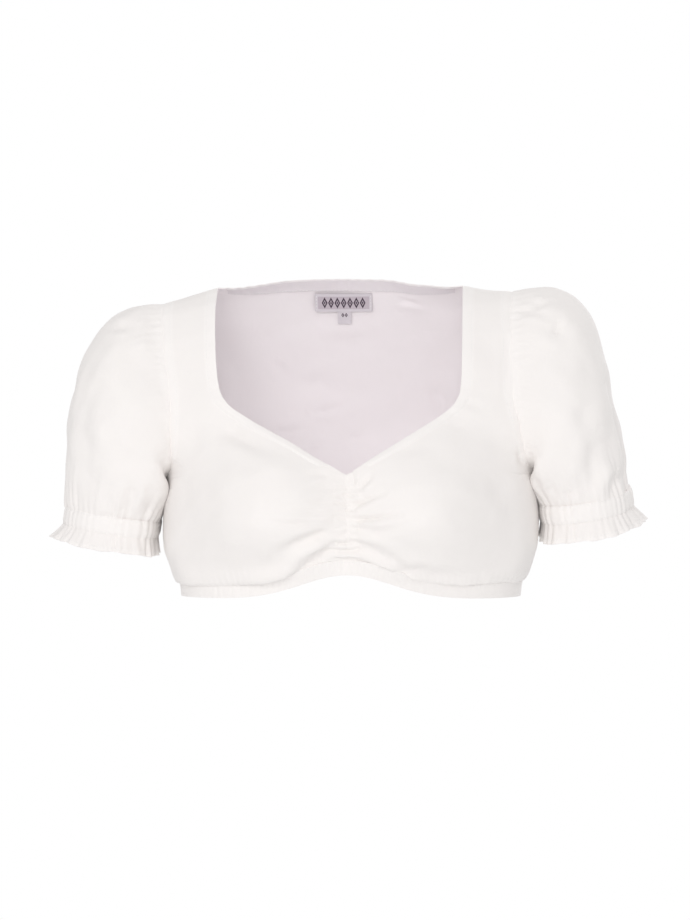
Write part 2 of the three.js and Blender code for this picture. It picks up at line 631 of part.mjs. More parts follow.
function cuffRuffle(name, arm) {
  const frame = cuffFrame(arm);
  const columns = CUFF_WAVES * 5;
  const surface = (u, v) => {
    const drift = 0.18 * sin(2 * PI * 3 * u) + 0.12 * sin(2 * PI * 7 * u + 1);
    const wave = mix(0.7, RUFFLE.wave, v) * cos(2 * PI * (CUFF_WAVES * u + drift));
    const flare = RUFFLE.flare * (1 - 0.5 * nearBody(u)) + RUFFLE.outerFlare * max(cos(2 * PI * u), 0) ** 2;
    const below = 2 * CUFF_SEAM + CUFF_BAND + v * sqrt(RUFFLE.length ** 2 - flare ** 2);
    return wear(cuffPoint(frame, u, below, wave + flare * v ** 1.3));
  };
  const rows = [0, 0.45, 1].map((v) => ({ v, us: count(columns).map((i) => i / columns) }));
  piece(name, wallGeometry(surface, rows, { closed: true, flip: arm.side > 0 }));
}

for (const arm of ARMS) {
  const { hand, side } = arm;
  piece(`front_${hand}`, wallGeometry(frontSurface(side), frontRows(), { flip: side < 0 }));
  neckFacing(`neck_facing_${hand}`, side);
  piece(`sleeve_${hand}`, wallGeometry(sleeveSurface(arm), sleeveRows(), { closed: true, flip: side > 0 }));
  cuffBand(`cuff_casing_${hand}`, arm);
  cuffRuffle(`cuff_ruffle_${hand}`, arm);
}
centreStrip();
piece("back", wallGeometry(backSurface, backRows(), { flip: true }));
hemBand("hem_casing_front", false, 18);
hemBand("hem_casing_back", true, 14);

backNeckCasing();
insideBack("label", { x0: -25, x1: 25, top: -2.2, bottom: -17, columns: 6 });
insideBack("size_tag", { x0: -5, x1: 7, top: -17.5, bottom: -28, columns: 2 });

export default blouse;
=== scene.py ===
# A short white folk blouse as it is worn, dressed round its imported solids: thin cloth shells with creases,
# gathers, seams and stitches. Lengths are in millimetres until a mesh is made, which is in metres.
import math

import bpy
import numpy as np
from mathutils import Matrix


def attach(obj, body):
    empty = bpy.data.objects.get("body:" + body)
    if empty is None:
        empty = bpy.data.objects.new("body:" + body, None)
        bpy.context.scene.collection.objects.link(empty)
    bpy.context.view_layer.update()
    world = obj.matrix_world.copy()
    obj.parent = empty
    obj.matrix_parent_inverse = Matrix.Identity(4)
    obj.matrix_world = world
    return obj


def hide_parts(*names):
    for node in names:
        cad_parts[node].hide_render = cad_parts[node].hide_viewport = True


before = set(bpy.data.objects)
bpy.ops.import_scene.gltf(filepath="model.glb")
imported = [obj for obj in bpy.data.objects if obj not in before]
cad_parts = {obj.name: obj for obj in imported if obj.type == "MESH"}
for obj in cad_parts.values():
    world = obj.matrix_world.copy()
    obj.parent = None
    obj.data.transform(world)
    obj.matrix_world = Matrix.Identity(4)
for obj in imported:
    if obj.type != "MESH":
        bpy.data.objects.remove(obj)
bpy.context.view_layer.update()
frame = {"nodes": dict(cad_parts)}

# Camera, from the photograph's frame
PHOTO_WIDTH = 690
PHOTO_HEIGHT = 920
MM_PER_PIXEL = 0.84
CENTRE_PIXEL_X = 337.5
SHOULDER_PIXEL_Y = 287.5
CAMERA_DISTANCE = 2600
CAMERA_X = (PHOTO_WIDTH / 2 - CENTRE_PIXEL_X) * MM_PER_PIXEL
CAMERA_Z = -(PHOTO_HEIGHT / 2 - SHOULDER_PIXEL_Y) * MM_PER_PIXEL
SENSOR = 36

camera_data = bpy.data.cameras.new("camera")
camera = bpy.data.objects.new("camera", camera_data)
bpy.context.scene.collection.objects.link(camera)
bpy.context.scene.camera = camera
camera_data.sensor_fit = "VERTICAL"
camera_data.sensor_height = SENSOR
camera_data.lens = SENSOR * CAMERA_DISTANCE / (PHOTO_HEIGHT * MM_PER_PIXEL)
camera_data.clip_end = 50
camera.location = (CAMERA_X / 1000, -CAMERA_DISTANCE / 1000, CAMERA_Z / 1000)
camera.rotation_euler = (math.pi / 2, 0, 0)

TINY = 1e-9
JUST_INSIDE = 0.99999  # keeps a point off the very edge, where the angle round the ring has no slope

# Sizes shared with the solids
NECK_HALF = 102.6
SHOULDER_HALF = 146
SHOULDER_SLOPE = 0.22
NAPE_RISE = 38
NAPE_DROP = 24.5
RIDGE_FADE = 120
ROUNDNESS = 0.8
HEM_BAND = 12
HEM_TOP = 246
HEM_ARCH = 20
HEM_ARCH_WIDTH = 52
BACK_HEM_ARCH = 21
STRIP_HALF = 9.5
V_DROP = 157.5
V_SLOPE = 0.594
UNDERARM = 160.5
CUP = {"x": 70, "drop": 190, "reach_x": 95, "up": 88, "down": 62, "depth": 40}
CUFF = {"fore": 45, "splay": math.radians(9), "band": 12.6, "seam": 0.7}
RUFFLE = {"length": 16.5, "flare": 6, "outer_flare": 3.5}
ARMS = {
    "right": {
        "side": -1, "x": 200.5, "z": -187, "across": 39, "back": 3,
        "head_out": 0, "head_up": 0, "outer_puff": 1, "close": 0.8,
    },
    "left": {
        "side": 1, "x": 197, "z": -176.5, "across": 37, "back": 9,
        "head_out": 25, "head_up": 14, "outer_puff": -32, "close": 3.6,
    },
}
SIT = {"lean": 11.4, "lean_from": 20, "lean_to": 175, "roll": 5.5, "roll_at": 150, "roll_height": 260}
SIT_TURN = math.radians(2.2)
NECK_SLIDE = {"x": 3.2, "from": 30, "to": 95}

TORSO = {
    "drop": (0, 3, 8, 16, 30, 50, 80, 112, 140, 160, 178, 199, 216, 229, 237, 246, 262),
    "half": (178, 178, 178, 178, 178, 177, 176, 167, 158, 154.5, 156, 157, 156, 152.5, 149, 143, 141),
    "front": (0, 14.5, 23.5, 33, 44.5, 56, 69, 81, 91, 96, 97, 98, 98, 97, 95.5, 93, 91),
    "back": (0, 15, 25, 36, 50, 66, 84, 97, 103, 102, 100, 98, 95, 92.5, 90.5, 87.5, 85),
}
ARMHOLE = {
    "drop": (0, 40, 94, 126, 143, 152, 158, 160.5),
    "front": (146, 144.5, 142, 144, 146.5, 150, 153.3, 154.5),
    "back": (146, 145.5, 147, 149, 150.5, 152, 153.6, 154.5),
}
FRONT = {
    "inner_x": (
        9.95, 9.95, 9.95, 9.95, 9.95, 9.95, 30, 52, 72, 91.5, 98, 100.3, 101.3, 102.2, 102.6, 102.6, 102.6, 102.6,
    ),
    "inner_drop": (226, 219, 207, 190, 171, 151.7, 139.7, 126.6, 114.7, 101.5, 91, 78, 58, 36, 18, 7, 2, 0),
    "outer_drop": (245.7, 239, 227, 207, 184, 160.5, 152.5, 143, 131, 114, 101, 87, 65, 41, 20, 8, 2.2, 0),
}
SLEEVE = {
    "around": (0, 0.125, 0.25, 0.375, 0.5, 0.625, 0.75, 0.875, 1),
    "out": (58, 48, 34, 17, 9, 17, 32, 48, 58),
    "fore": (0, 20, 20, 14, 0, -14, -18, -20, 0),
    "up": (12, 10, 2, -4, 1, -4, 2, 10, 12),
    "rise": (112, 86, 58, 38, 14, 38, 58, 86, 112),
    "puff": (23, 26, 26, 19, -1, 17, 26, 26, 23),
}


def mix(a, b, t):
    return a + (b - a) * t


def ease(start, end, at):
    t = np.clip((at - start) / (end - start), 0, 1)
    return t * t * (3 - 2 * t)


def bell(distance, width):
    return np.exp(-((distance / width) ** 2))


def curve_of(table, column, key=None, scale=lambda k: k):
    """A smooth curve through one column of a table that never overshoots its rows (monotone cubic)."""
    y = np.array(table[column], float)
    x = scale(np.array(table[key], float)) if key else np.arange(len(y), dtype=float)
    slope = np.diff(y) / np.diff(x)
    a, b = slope[:-1], slope[1:]
    same = a * b > 0
    inner = np.where(same, 2 * a * b / np.where(same, a + b, 1), 0)
    tangent = np.concatenate([slope[:1], inner, slope[-1:]])

    def value(at):
        s = np.clip(scale(np.asarray(at, float)), x[0], x[-1])
        i = np.clip(np.searchsorted(x, s, side="left") - 1, 0, len(x) - 2)
        w = x[i + 1] - x[i]
        t = (s - x[i]) / w
        rise = (2 * t**3 - 3 * t**2 + 1) * y[i] + (3 * t**2 - 2 * t**3) * y[i + 1]
        return rise + (t**3 - 2 * t**2 + t) * w * tangent[i] + (t**3 - t**2) * w * tangent[i + 1]

    return value


torso_half = curve_of(TORSO, "half", "drop", np.sqrt)
torso_front = curve_of(TORSO, "front", "drop", np.sqrt)
torso_back = curve_of(TORSO, "back", "drop", np.sqrt)
armhole_front = curve_of(ARMHOLE, "front", "drop")
armhole_back = curve_of(ARMHOLE, "back", "drop")


def worn(x, y, z):
    """Lean, roll and turn of the worn blouse."""
    slide = NECK_SLIDE["x"] * (1 - np.minimum(np.abs(x) / SHOULDER_HALF, 1) ** 4)
    slide = slide * (1 - ease(NECK_SLIDE["from"], NECK_SLIDE["to"], -z))
    lean = SIT["lean"] * ease(SIT["lean_from"], SIT["lean_to"], -z) + slide
    out = np.minimum(np.abs(x) / SIT["roll_at"], 1.12)
    roll = SIT["roll"] * np.sign(x) * out**5 * np.clip(1 + z / SIT["roll_height"], 0, 1)
    c, s = math.cos(SIT_TURN), math.sin(SIT_TURN)
    return np.stack(np.broadcast_arrays(x * c + y * s + lean, y * c - x * s, z + roll), -1)


# Round a ring by length: every ring of the torso is spaced as the one at the bust is
RING_DROP = 200
ring_angles = np.linspace(0, math.pi / 2, 121)
ring_x = torso_half(RING_DROP) * np.sin(ring_angles) ** ROUNDNESS
ring_y = torso_front(RING_DROP) * np.maximum(np.cos(ring_angles), 0) ** ROUNDNESS
ring_lengths = np.concatenate([[0], np.cumsum(np.hypot(np.diff(ring_x), np.diff(ring_y)))])
RING_LENGTH = ring_lengths[-1]
RING = {"angle": ring_angles, "length": ring_lengths}
ring_length = curve_of(RING, "length", "angle")
ring_angle = curve_of(RING, "angle", "length")


def angle_at(x, drop):
    share = np.minimum(np.abs(x) / torso_half(drop), 1)
    return np.sign(x) * np.arcsin(share ** (1 / ROUNDNESS))


def share_at(x, drop):
    return ring_length(np.abs(angle_at(x, drop))) / RING_LENGTH


def side_x(drop, edge):
    return np.where(drop >= UNDERARM, torso_half(drop), edge(drop))


def height_at(x, drop, is_back):
    fade = 1 - ease(0, RIDGE_FADE, drop)
    beyond = np.maximum(np.abs(x) - NECK_HALF, 0)
    nape = np.where(np.abs(x) < NECK_HALF, NAPE_RISE * np.cos(math.pi * x / (2 * NECK_HALF)) ** 2, 0)
    return ((nape if is_back else 0) - SHOULDER_SLOPE * beyond) * fade - drop


def cup_at(x, drop):
    away = drop - CUP["drop"]
    reach = np.where(away > 0, CUP["down"], CUP["up"])
    r = np.hypot((np.abs(x) - CUP["x"]) / CUP["reach_x"], away / reach)
    return np.where(r < 1, CUP["depth"] * np.cos(math.pi * np.minimum(r, 1) / 2) ** 2, 0)


def front_point(angle, drop, lift=0):
    x = np.sign(angle) * torso_half(drop) * np.sin(np.abs(angle)) ** ROUNDNESS
    depth = torso_front(drop) + cup_at(x, drop) + lift
    depth = depth * np.maximum(np.cos(angle), 0) ** ROUNDNESS
    return worn(x, -depth, height_at(x, drop, False))


def back_point(angle, drop, lift=0):
    x = np.sign(angle) * torso_half(drop) * np.sin(np.abs(angle)) ** ROUNDNESS
    depth = (torso_back(drop) + lift) * np.maximum(np.cos(angle), 0) ** ROUNDNESS
    return worn(x, depth, height_at(x, drop, True))


def hem_front(angle):
    x = torso_half(HEM_TOP) * np.sin(np.abs(angle)) ** ROUNDNESS
    return HEM_TOP - HEM_ARCH * bell(x, HEM_ARCH_WIDTH)


def hem_back(share):
    return HEM_TOP - BACK_HEM_ARCH * np.cos(math.pi * share / 2) ** 2


# Grids: an array of rows by columns by three coordinates


def normals_of(grid, closed=False, flip=False):
    if closed:
        along = np.roll(grid, -1, 1) - np.roll(grid, 1, 1)
    else:
        along = np.gradient(grid, axis=1)
    up = np.gradient(grid, axis=0)
    normal = np.cross(along, up)
    normal /= np.maximum(np.linalg.norm(normal, axis=2, keepdims=True), TINY)
    return -normal if flip else normal


def moved(grid, offset, closed=False, flip=False):
    return grid + normals_of(grid, closed, flip) * offset[..., None]


def lengths_along(grid, axis):
    step = np.linalg.norm(np.diff(grid, axis=axis), axis=2)
    zero = np.zeros_like(np.take(step, [0], axis))
    return np.concatenate([zero, np.cumsum(step, axis)], axis)


def from_edges(grid):
    """Distance of each point from the first and last column and from the first and last row."""
    across = lengths_along(grid, 1)
    up = lengths_along(grid, 0)
    return {"start": across, "end": across[:, -1:] - across, "bottom": up, "top": up[-1:] - up}


def seam_dip(distance, depth=0.5, width=1.6):
    return -depth * bell(distance, width)


def seam_ridge(distance, at, height, width):
    """A soft swelling along a seam, over what is turned in behind it."""
    return height * bell(distance - at, width)


def ripple(points, seed, wavelength, size, waves=9):
    """Even small unrest of the cloth, the same wherever pieces meet."""
    random = np.random.default_rng(seed)
    total = np.zeros(points.shape[:-1])
    for _ in range(waves):
        direction = random.normal(size=3)
        direction /= np.linalg.norm(direction)
        turn = 2 * math.pi / (wavelength * random.uniform(0.7, 1.5))
        total += np.sin(points @ direction * turn + random.uniform(0, 2 * math.pi))
    return total * size / math.sqrt(waves)


def gathers(at, pitch, seed):
    """Uneven small folds across a seam; at is the length along it."""
    random = np.random.default_rng(seed)
    start = random.uniform(0, 2 * math.pi, 4)
    drift = 0.32 * np.sin(at / (3.1 * pitch) + start[0]) + 0.16 * np.sin(at / (1.3 * pitch) + start[1])
    size = 0.68 + 0.32 * np.sin(at / (1.9 * pitch) + start[2])
    return size * np.cos(2 * math.pi * (at / pitch + drift) + start[3])


def ring_gathers(turn, number, seed):
    """The same round a closed seam; turn is the angle round it."""
    random = np.random.default_rng(seed)
    start = random.uniform(0, 2 * math.pi, 4)
    drift = 1.5 * np.sin(3 * turn + start[0]) + 0.9 * np.sin(7 * turn + start[1])
    size = 0.66 + 0.34 * np.sin(11 * turn + start[2])
    return size * np.cos(number * turn + drift + start[3])


def seen(grid):
    """Where the photograph's camera sees each point, in pixels of its frame."""
    near = CAMERA_DISTANCE / (CAMERA_DISTANCE + grid[..., 1])
    px = PHOTO_WIDTH / 2 + (grid[..., 0] - CAMERA_X) * near / MM_PER_PIXEL
    py = PHOTO_HEIGHT / 2 - (grid[..., 2] - CAMERA_Z) * near / MM_PER_PIXEL
    return px, py


def bent_line(path, pieces=10):
    """Points of a bend from the first to the last of three points, by way of the second."""
    points = np.array(path, float)
    t = np.linspace(0, 1, pieces + 1)[:, None]
    middle = 2 * points[1] - (points[0] + points[2]) / 2
    return (1 - t) ** 2 * points[0] + 2 * t * (1 - t) * middle + t**2 * points[2]


def trough(near):
    """The cross-section of a crease, with a low swelling on each side."""
    return np.exp(-(near**2)) - 0.3 * bell(near - 1.9, 0.9)


def crease(a, b, path, width, depth, lean=0):
    """A soft trough along a path, or a ridge where depth is negative. lean makes one side the higher."""
    line = bent_line(path)
    nearest = np.full(a.shape, 1e9)
    along = np.zeros(a.shape)
    side = np.zeros(a.shape)
    pieces = len(line) - 1
    for i in range(pieces):
        (ax, ay), (bx, by) = line[i], line[i + 1]
        dx, dy = bx - ax, by - ay
        size = dx * dx + dy * dy
        raw = ((a - ax) * dx + (b - ay) * dy) / size
        t = np.clip(raw, 0, 1)
        away = np.hypot(a - ax - t * dx, b - ay - t * dy)
        closer = away < nearest
        nearest = np.where(closer, away, nearest)
        along = np.where(closer, (i + t) / pieces, along)
        side = np.where(closer, np.sign((a - ax) * dy - (b - ay) * dx), side)
    near = nearest / width
    step = lean * side * near * bell(near, 1.3)
    taper = 0.25 + 0.75 * ease(0, 0.25, along) * (1 - ease(0.55, 1, along))
    return -depth * (trough(near) + step) * taper


def creases(a, b, rows, scale=1):
    """A row is the x and y of a crease's start, middle and end, then its half-width, depth and lean."""
    total = np.zeros(a.shape)
    for x0, y0, x1, y1, x2, y2, width, depth, lean in rows:
        path = [(x0 * scale, y0 * scale), (x1 * scale, y1 * scale), (x2 * scale, y2 * scale)]
        total += crease(a, b, path, width, depth, lean)
    return total


def seen_creases(grid, rows):
    """Creases whose places are in pixels of the photograph and whose widths and depths are in millimetres."""
    px, py = seen(grid)
    return creases(px * MM_PER_PIXEL, py * MM_PER_PIXEL, rows, MM_PER_PIXEL)


# Materials


def new_material(name):
    material = bpy.data.materials.new(name)
    material.use_nodes = True
    nodes, links = material.node_tree.nodes, material.node_tree.links
    return material, nodes, links, nodes["Principled BSDF"]


def add_math(nodes, links, operation, first, second=None):
    node = nodes.new("ShaderNodeMath")
    node.operation = operation
    for socket, value in zip(node.inputs, (first, second)):
        if value is None:
            continue
        if isinstance(value, (int, float)):
            socket.default_value = value
        else:
            links.new(value, socket)
    return node.outputs[0]


def add_noise(nodes, links, vector, scale, detail=3):
    node = nodes.new("ShaderNodeTexNoise")
    node.inputs["Scale"].default_value = scale
    node.inputs["Detail"].default_value = detail
    links.new(vector, node.inputs["Vector"])
    return node.outputs[0]


def add_mix(nodes, links, share, first, second):
    node = nodes.new("ShaderNodeMix")
    node.data_type = "RGBA"
    links.new(share, node.inputs["Factor"])
    for key, value in (("A", first), ("B", second)):
        socket = [s for s in node.inputs if s.name == key and s.type == "RGBA"][0]
        if isinstance(value, tuple):
            socket.default_value = (*value, 1)
        else:
            links.new(value, socket)
    return [s for s in node.outputs if s.type == "RGBA"][0]


def add_bump(nodes, links, height, strength, distance, before=None):
    node = nodes.new("ShaderNodeBump")
    node.inputs["Strength"].default_value = strength
    node.inputs["Distance"].default_value = distance
    links.new(height, node.inputs["Height"])
    if before is not None:
        links.new(before, node.inputs["Normal"])
    return node.outputs[0]


THREADS_PER_METRE = 2600
FRONT_WHITE = (0.895, 0.866, 0.846)
SEAM_WHITE = (0.910, 0.883, 0.864)
# Painted light and shade: the cloth's inner faces get a lighter, lilac colour of their own. This paints light
# onto the shaded inside and gives it a painted lilac tint of shade; the cloth is the same on both faces.
INNER_PAINTED_LIGHT_WHITE = (0.925, 0.876, 0.892)
# Painted shade: the back neck casing's inner colour is darker than the rest of the inside and stands in for the
# shade on the upper inside of the back.
CASING_PAINTED_SHADE_WHITE = (0.80, 0.75, 0.775)


def make_weave(nodes, links, threads):
    """Height of a plain weave along the cloth's own two directions."""
    uv = nodes.new("ShaderNodeUVMap")
    uv.uv_map = "flat"
    split = nodes.new("ShaderNodeSeparateXYZ")
    links.new(uv.outputs[0], split.inputs[0])
    turn = threads * math.pi
    warp = add_math(nodes, links, "SINE", add_math(nodes, links, "MULTIPLY", split.outputs[0], turn))
    weft = add_math(nodes, links, "SINE", add_math(nodes, links, "MULTIPLY", split.outputs[1], turn))
    return add_math(nodes, links, "MULTIPLY", warp, weft)


def make_cotton(name, inner_painted_white=INNER_PAINTED_LIGHT_WHITE):
    material, nodes, links, shader = new_material(name)
    place = nodes.new("ShaderNodeTexCoord").outputs["Object"]
    slub = add_noise(nodes, links, place, 420, 2)
    cloud = add_noise(nodes, links, place, 22, 3)
    seam = nodes.new("ShaderNodeAttribute")
    seam.attribute_name = "seam"
    inner = nodes.new("ShaderNodeAttribute")
    inner.attribute_name = "inner"
    plain = add_mix(nodes, links, cloud, FRONT_WHITE, tuple(c * 0.985 for c in FRONT_WHITE))
    doubled = add_mix(nodes, links, seam.outputs["Fac"], plain, SEAM_WHITE)
    # The inner faces, by the attribute inner, take this material's painted inner colour.
    colour = add_mix(nodes, links, inner.outputs["Fac"], doubled, inner_painted_white)
    links.new(colour, shader.inputs["Base Color"])
    shader.inputs["Roughness"].default_value = 0.88
    shader.inputs["Specular IOR Level"].default_value = 0.22
    shader.inputs["Sheen Weight"].default_value = 0.12
    shader.inputs["Sheen Roughness"].default_value = 0.5
    weave = make_weave(nodes, links, THREADS_PER_METRE)
    crumple = add_noise(nodes, links, place, 75, 4)
    soft = add_bump(nodes, links, crumple, 0.22, 0.0022)
    fine = add_bump(nodes, links, slub, 0.10, 0.0004, soft)
    links.new(add_bump(nodes, links, weave, 0.14, 0.00012, fine), shader.inputs["Normal"])
    return material


def make_thread(name):
    material, nodes, links, shader = new_material(name)
    place = nodes.new("ShaderNodeTexCoord").outputs["Object"]
    twist = add_noise(nodes, links, place, 2600, 1)
    colour = add_mix(nodes, links, twist, (0.90, 0.885, 0.875), (0.84, 0.825, 0.82))
    links.new(colour, shader.inputs["Base Color"])
    shader.inputs["Roughness"].default_value = 0.6
    links.new(add_bump(nodes, links, twist, 0.3, 0.0001), shader.inputs["Normal"])
    return material


LABEL_GROUND = (0.60, 0.53, 0.585)
LABEL_FRAME = (0.70, 0.655, 0.695)
LABEL_FIGURE = (0.06, 0.035, 0.06)


def make_label(name, repeats, height, level, plain, frame):
    """A woven ground with a paler frame and a row of lozenges, laid out from 0 to 1 each way."""
    material, nodes, links, shader = new_material(name)
    uv = nodes.new("ShaderNodeUVMap")
    uv.uv_map = "layout"
    split = nodes.new("ShaderNodeSeparateXYZ")
    links.new(uv.outputs[0], split.inputs[0])
    u, v = split.outputs[0], split.outputs[1]

    def from_middle(value, middle=0.5):
        return add_math(nodes, links, "ABSOLUTE", add_math(nodes, links, "SUBTRACT", value, middle))

    across = from_middle(add_math(nodes, links, "FRACT", add_math(nodes, links, "MULTIPLY", u, repeats)))
    upward = add_math(nodes, links, "MULTIPLY", from_middle(v, level), 1 / height)
    radius = add_math(nodes, links, "ADD", across, upward)
    solid = add_math(nodes, links, "LESS_THAN", radius, 0.46)
    hollow = add_math(nodes, links, "GREATER_THAN", radius, 0.23)
    kernel = add_math(nodes, links, "LESS_THAN", radius, 0.14)
    ring = add_math(nodes, links, "MULTIPLY", solid, hollow)
    figure = add_math(nodes, links, "MAXIMUM", ring, kernel)
    middle = add_math(nodes, links, "LESS_THAN", from_middle(u), 0.5 - plain)
    figure = add_math(nodes, links, "MULTIPLY", figure, middle)
    ends = add_math(nodes, links, "GREATER_THAN", from_middle(u), 0.5 - frame[0])
    sides = add_math(nodes, links, "GREATER_THAN", from_middle(v), 0.5 - frame[1])
    pale = add_math(nodes, links, "MAXIMUM", ends, sides)
    place = nodes.new("ShaderNodeTexCoord").outputs["Object"]
    fleck = add_noise(nodes, links, place, 900, 2)
    ground = add_mix(nodes, links, fleck, LABEL_GROUND, tuple(c * 0.86 for c in LABEL_GROUND))
    ground = add_mix(nodes, links, pale, ground, LABEL_FRAME)
    colour = add_mix(nodes, links, figure, ground, LABEL_FIGURE)
    links.new(colour, shader.inputs["Base Color"])
    shader.inputs["Roughness"].default_value = 0.6
    shader.inputs["Sheen Weight"].default_value = 0.15
    weave = make_weave(nodes, links, 3600)
    raised = add_bump(nodes, links, figure, 0.5, 0.00015)
    links.new(add_bump(nodes, links, weave, 0.3, 0.0001, raised), shader.inputs["Normal"])
    return material


COTTON = make_cotton("white_cotton")
# The same cotton, with painted shade in its inner colour, for the back neck casing.
CASING_PAINTED_SHADE_COTTON = make_cotton("casing_painted_shade_cotton", CASING_PAINTED_SHADE_WHITE)
THREAD = make_thread("white_thread")
WOVEN_LABEL = make_label("woven_label", 9, 0.70, 0.5, 1 / 9, (0.05, 0.14))
WOVEN_TAG = make_label("woven_tag", 4, 0.38, 0.66, 1 / 4, (0.5, 0.5))

# Making the pieces

SHARP = math.radians(55)


def build_mesh(name, points, faces, material, uvs=None, attributes=None):
    mesh = bpy.data.meshes.new(name)
    mesh.from_pydata((points / 1000).tolist(), [], faces.tolist())
    mesh.materials.append(material)
    for key, values in (attributes or {}).items():
        layer = mesh.attributes.new(key, "FLOAT", "POINT")
        layer.data.foreach_set("value", values.astype(np.float32))
    corner = np.zeros(len(mesh.loops), np.int32)
    mesh.loops.foreach_get("vertex_index", corner)
    for key, values in (uvs or {}).items():
        layer = mesh.uv_layers.new(name=key)
        layer.data.foreach_set("uv", values[corner].astype(np.float32).ravel())
    mesh.shade_smooth()
    mesh.set_sharp_from_angle(angle=SHARP)
    thing = bpy.data.objects.new(name, mesh)
    bpy.context.scene.collection.objects.link(thing)
    return thing


def cloth(node, grid, thickness=0.9, closed=False, flip=False, seam=None,
          material=None, inner=1.0, layout=False):
    """A thin closed shell whose middle is the grid. It stands for the CAD node named."""
    rows, columns = grid.shape[:2]
    normal = normals_of(grid, closed, flip) * (thickness / 2)
    outer = (grid + normal).reshape(-1, 3)
    inside = (grid - normal).reshape(-1, 3)
    index = np.arange(rows * columns).reshape(rows, columns)
    wide = np.concatenate([index, index[:, :1]], 1) if closed else index
    a, b = wide[:-1, :-1].ravel(), wide[:-1, 1:].ravel()
    c, d = wide[1:, 1:].ravel(), wide[1:, :-1].ravel()
    front = np.stack([a, b, c, d], 1)
    shift = rows * columns
    rear = np.stack([a, d, c, b], 1) + shift
    rims = [(wide[0, :-1], wide[0, 1:]), (wide[-1, 1:], wide[-1, :-1])]
    if not closed:
        rims += [(index[1:, 0], index[:-1, 0]), (index[:-1, -1], index[1:, -1])]
    rim = np.concatenate([np.stack([p, p + shift, q + shift, q], 1) for p, q in rims])
    faces = np.concatenate([front, rear, rim])
    if flip:
        faces = faces[:, ::-1]
    across = lengths_along(grid, 1)
    upward = lengths_along(grid, 0)
    middle = columns // 2
    climb = np.broadcast_to(upward[:, middle:middle + 1], across.shape)
    flat = np.stack([across - across[:, middle:middle + 1], climb], -1)
    flat = np.tile(flat.reshape(-1, 2) / 1000, (2, 1))
    uvs = {"flat": flat}
    if layout:
        u, v = np.meshgrid(np.linspace(0, 1, columns), np.linspace(0, 1, rows))
        uvs["layout"] = np.tile(np.stack([u, v], -1).reshape(-1, 2), (2, 1))
    seam = np.zeros((rows, columns)) if seam is None else seam
    attributes = {
        "seam": np.tile(seam.ravel(), 2),
        # inner: the share of the painted inner colour that the inside faces take
        "inner": np.concatenate([np.zeros(shift), np.full(shift, inner)]),
    }
    points = np.concatenate([outer, inside])
    piece = build_mesh(node + "_cloth", points, faces, material or COTTON, uvs, attributes)
    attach(piece, "root")
    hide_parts(node)


STITCH = {"length": 2.3, "pitch": 3.1, "width": 0.4, "height": 0.2}


def stitch_rows(name, lines):
    """Rows of small stitches. Each line is points and the normals there, on the cloth's outer face."""
    all_points, all_faces = [], []
    count = 0
    for points, normals in lines:
        lengths = np.concatenate([[0], np.cumsum(np.linalg.norm(np.diff(points, axis=0), axis=1))])
        starts = np.arange(0.6, lengths[-1] - STITCH["length"], STITCH["pitch"])
        for start in starts:
            where = start + STITCH["length"] * np.array([0, 0.22, 0.78, 1])
            p = np.stack([np.interp(where, lengths, points[:, k]) for k in range(3)], 1)
            n = np.stack([np.interp(where, lengths, normals[:, k]) for k in range(3)], 1)
            along = p[3] - p[0]
            across = np.cross(along / np.linalg.norm(along), n[1])
            half, up = across * STITCH["width"] / 2, n * STITCH["height"]
            ring = [p[1] - half, p[1] + up[1], p[1] + half, p[2] - half, p[2] + up[2], p[2] + half]
            all_points += [p[0] - 0.1 * n[0], *ring, p[3] - 0.1 * n[3]]
            base = count * 8
            tris = [(0, 2, 1), (0, 3, 2), (0, 1, 3), (1, 2, 5), (1, 5, 4), (2, 3, 6), (2, 6, 5),
                    (3, 1, 4), (3, 4, 6), (4, 5, 7), (5, 6, 7), (6, 4, 7)]
            all_faces += [(base + i, base + j, base + k) for i, j, k in tris]
            count += 1
    piece = build_mesh(name, np.array(all_points), np.array(all_faces), THREAD)
    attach(piece, "root")
    return piece


def grid_line(grid, row=None, column=None, closed=False, flip=False, lift=0.5):
    """A row or column of a grid, on the outer face of its cloth."""
    normal = normals_of(grid, closed, flip)
    points = grid + normal * lift
    if row is not None:
        line, n = points[row], normal[row]
        if closed:
            line, n = np.concatenate([line, line[:1]]), np.concatenate([n, n[:1]])
        return line, n
    return points[:, column], normal[:, column]


ALLOWANCE = 1.5
ALLOWANCE_SINK = 0.55


def with_allowance(grid, ends, flip=False, top=False):
    """The grid with its chosen first or last columns, and last row, run on a little under the next piece."""
    normal = normals_of(grid, flip=flip)

    def run_on(edge, before, lean):
        away = edge - before
        away /= np.maximum(np.linalg.norm(away, axis=-1, keepdims=True), TINY)
        return edge + away * ALLOWANCE - lean * ALLOWANCE_SINK

    if "end" in ends:
        grid = np.concatenate([grid, run_on(grid[:, -1], grid[:, -2], normal[:, -1])[:, None]], 1)
        normal = np.concatenate([normal, normal[:, -1:]], 1)
    if "start" in ends:
        grid = np.concatenate([run_on(grid[:, 0], grid[:, 1], normal[:, 0])[:, None], grid], 1)
        normal = np.concatenate([normal[:, :1], normal], 1)
    if top:
        grid = np.concatenate([grid, run_on(grid[-1], grid[-2], normal[-1])[None]], 0)
    return grid


def padded_like(values, ends, top=False):
    columns = (int("start" in ends), int("end" in ends))
    return np.pad(values, ((0, int(top)), columns), mode="edge")


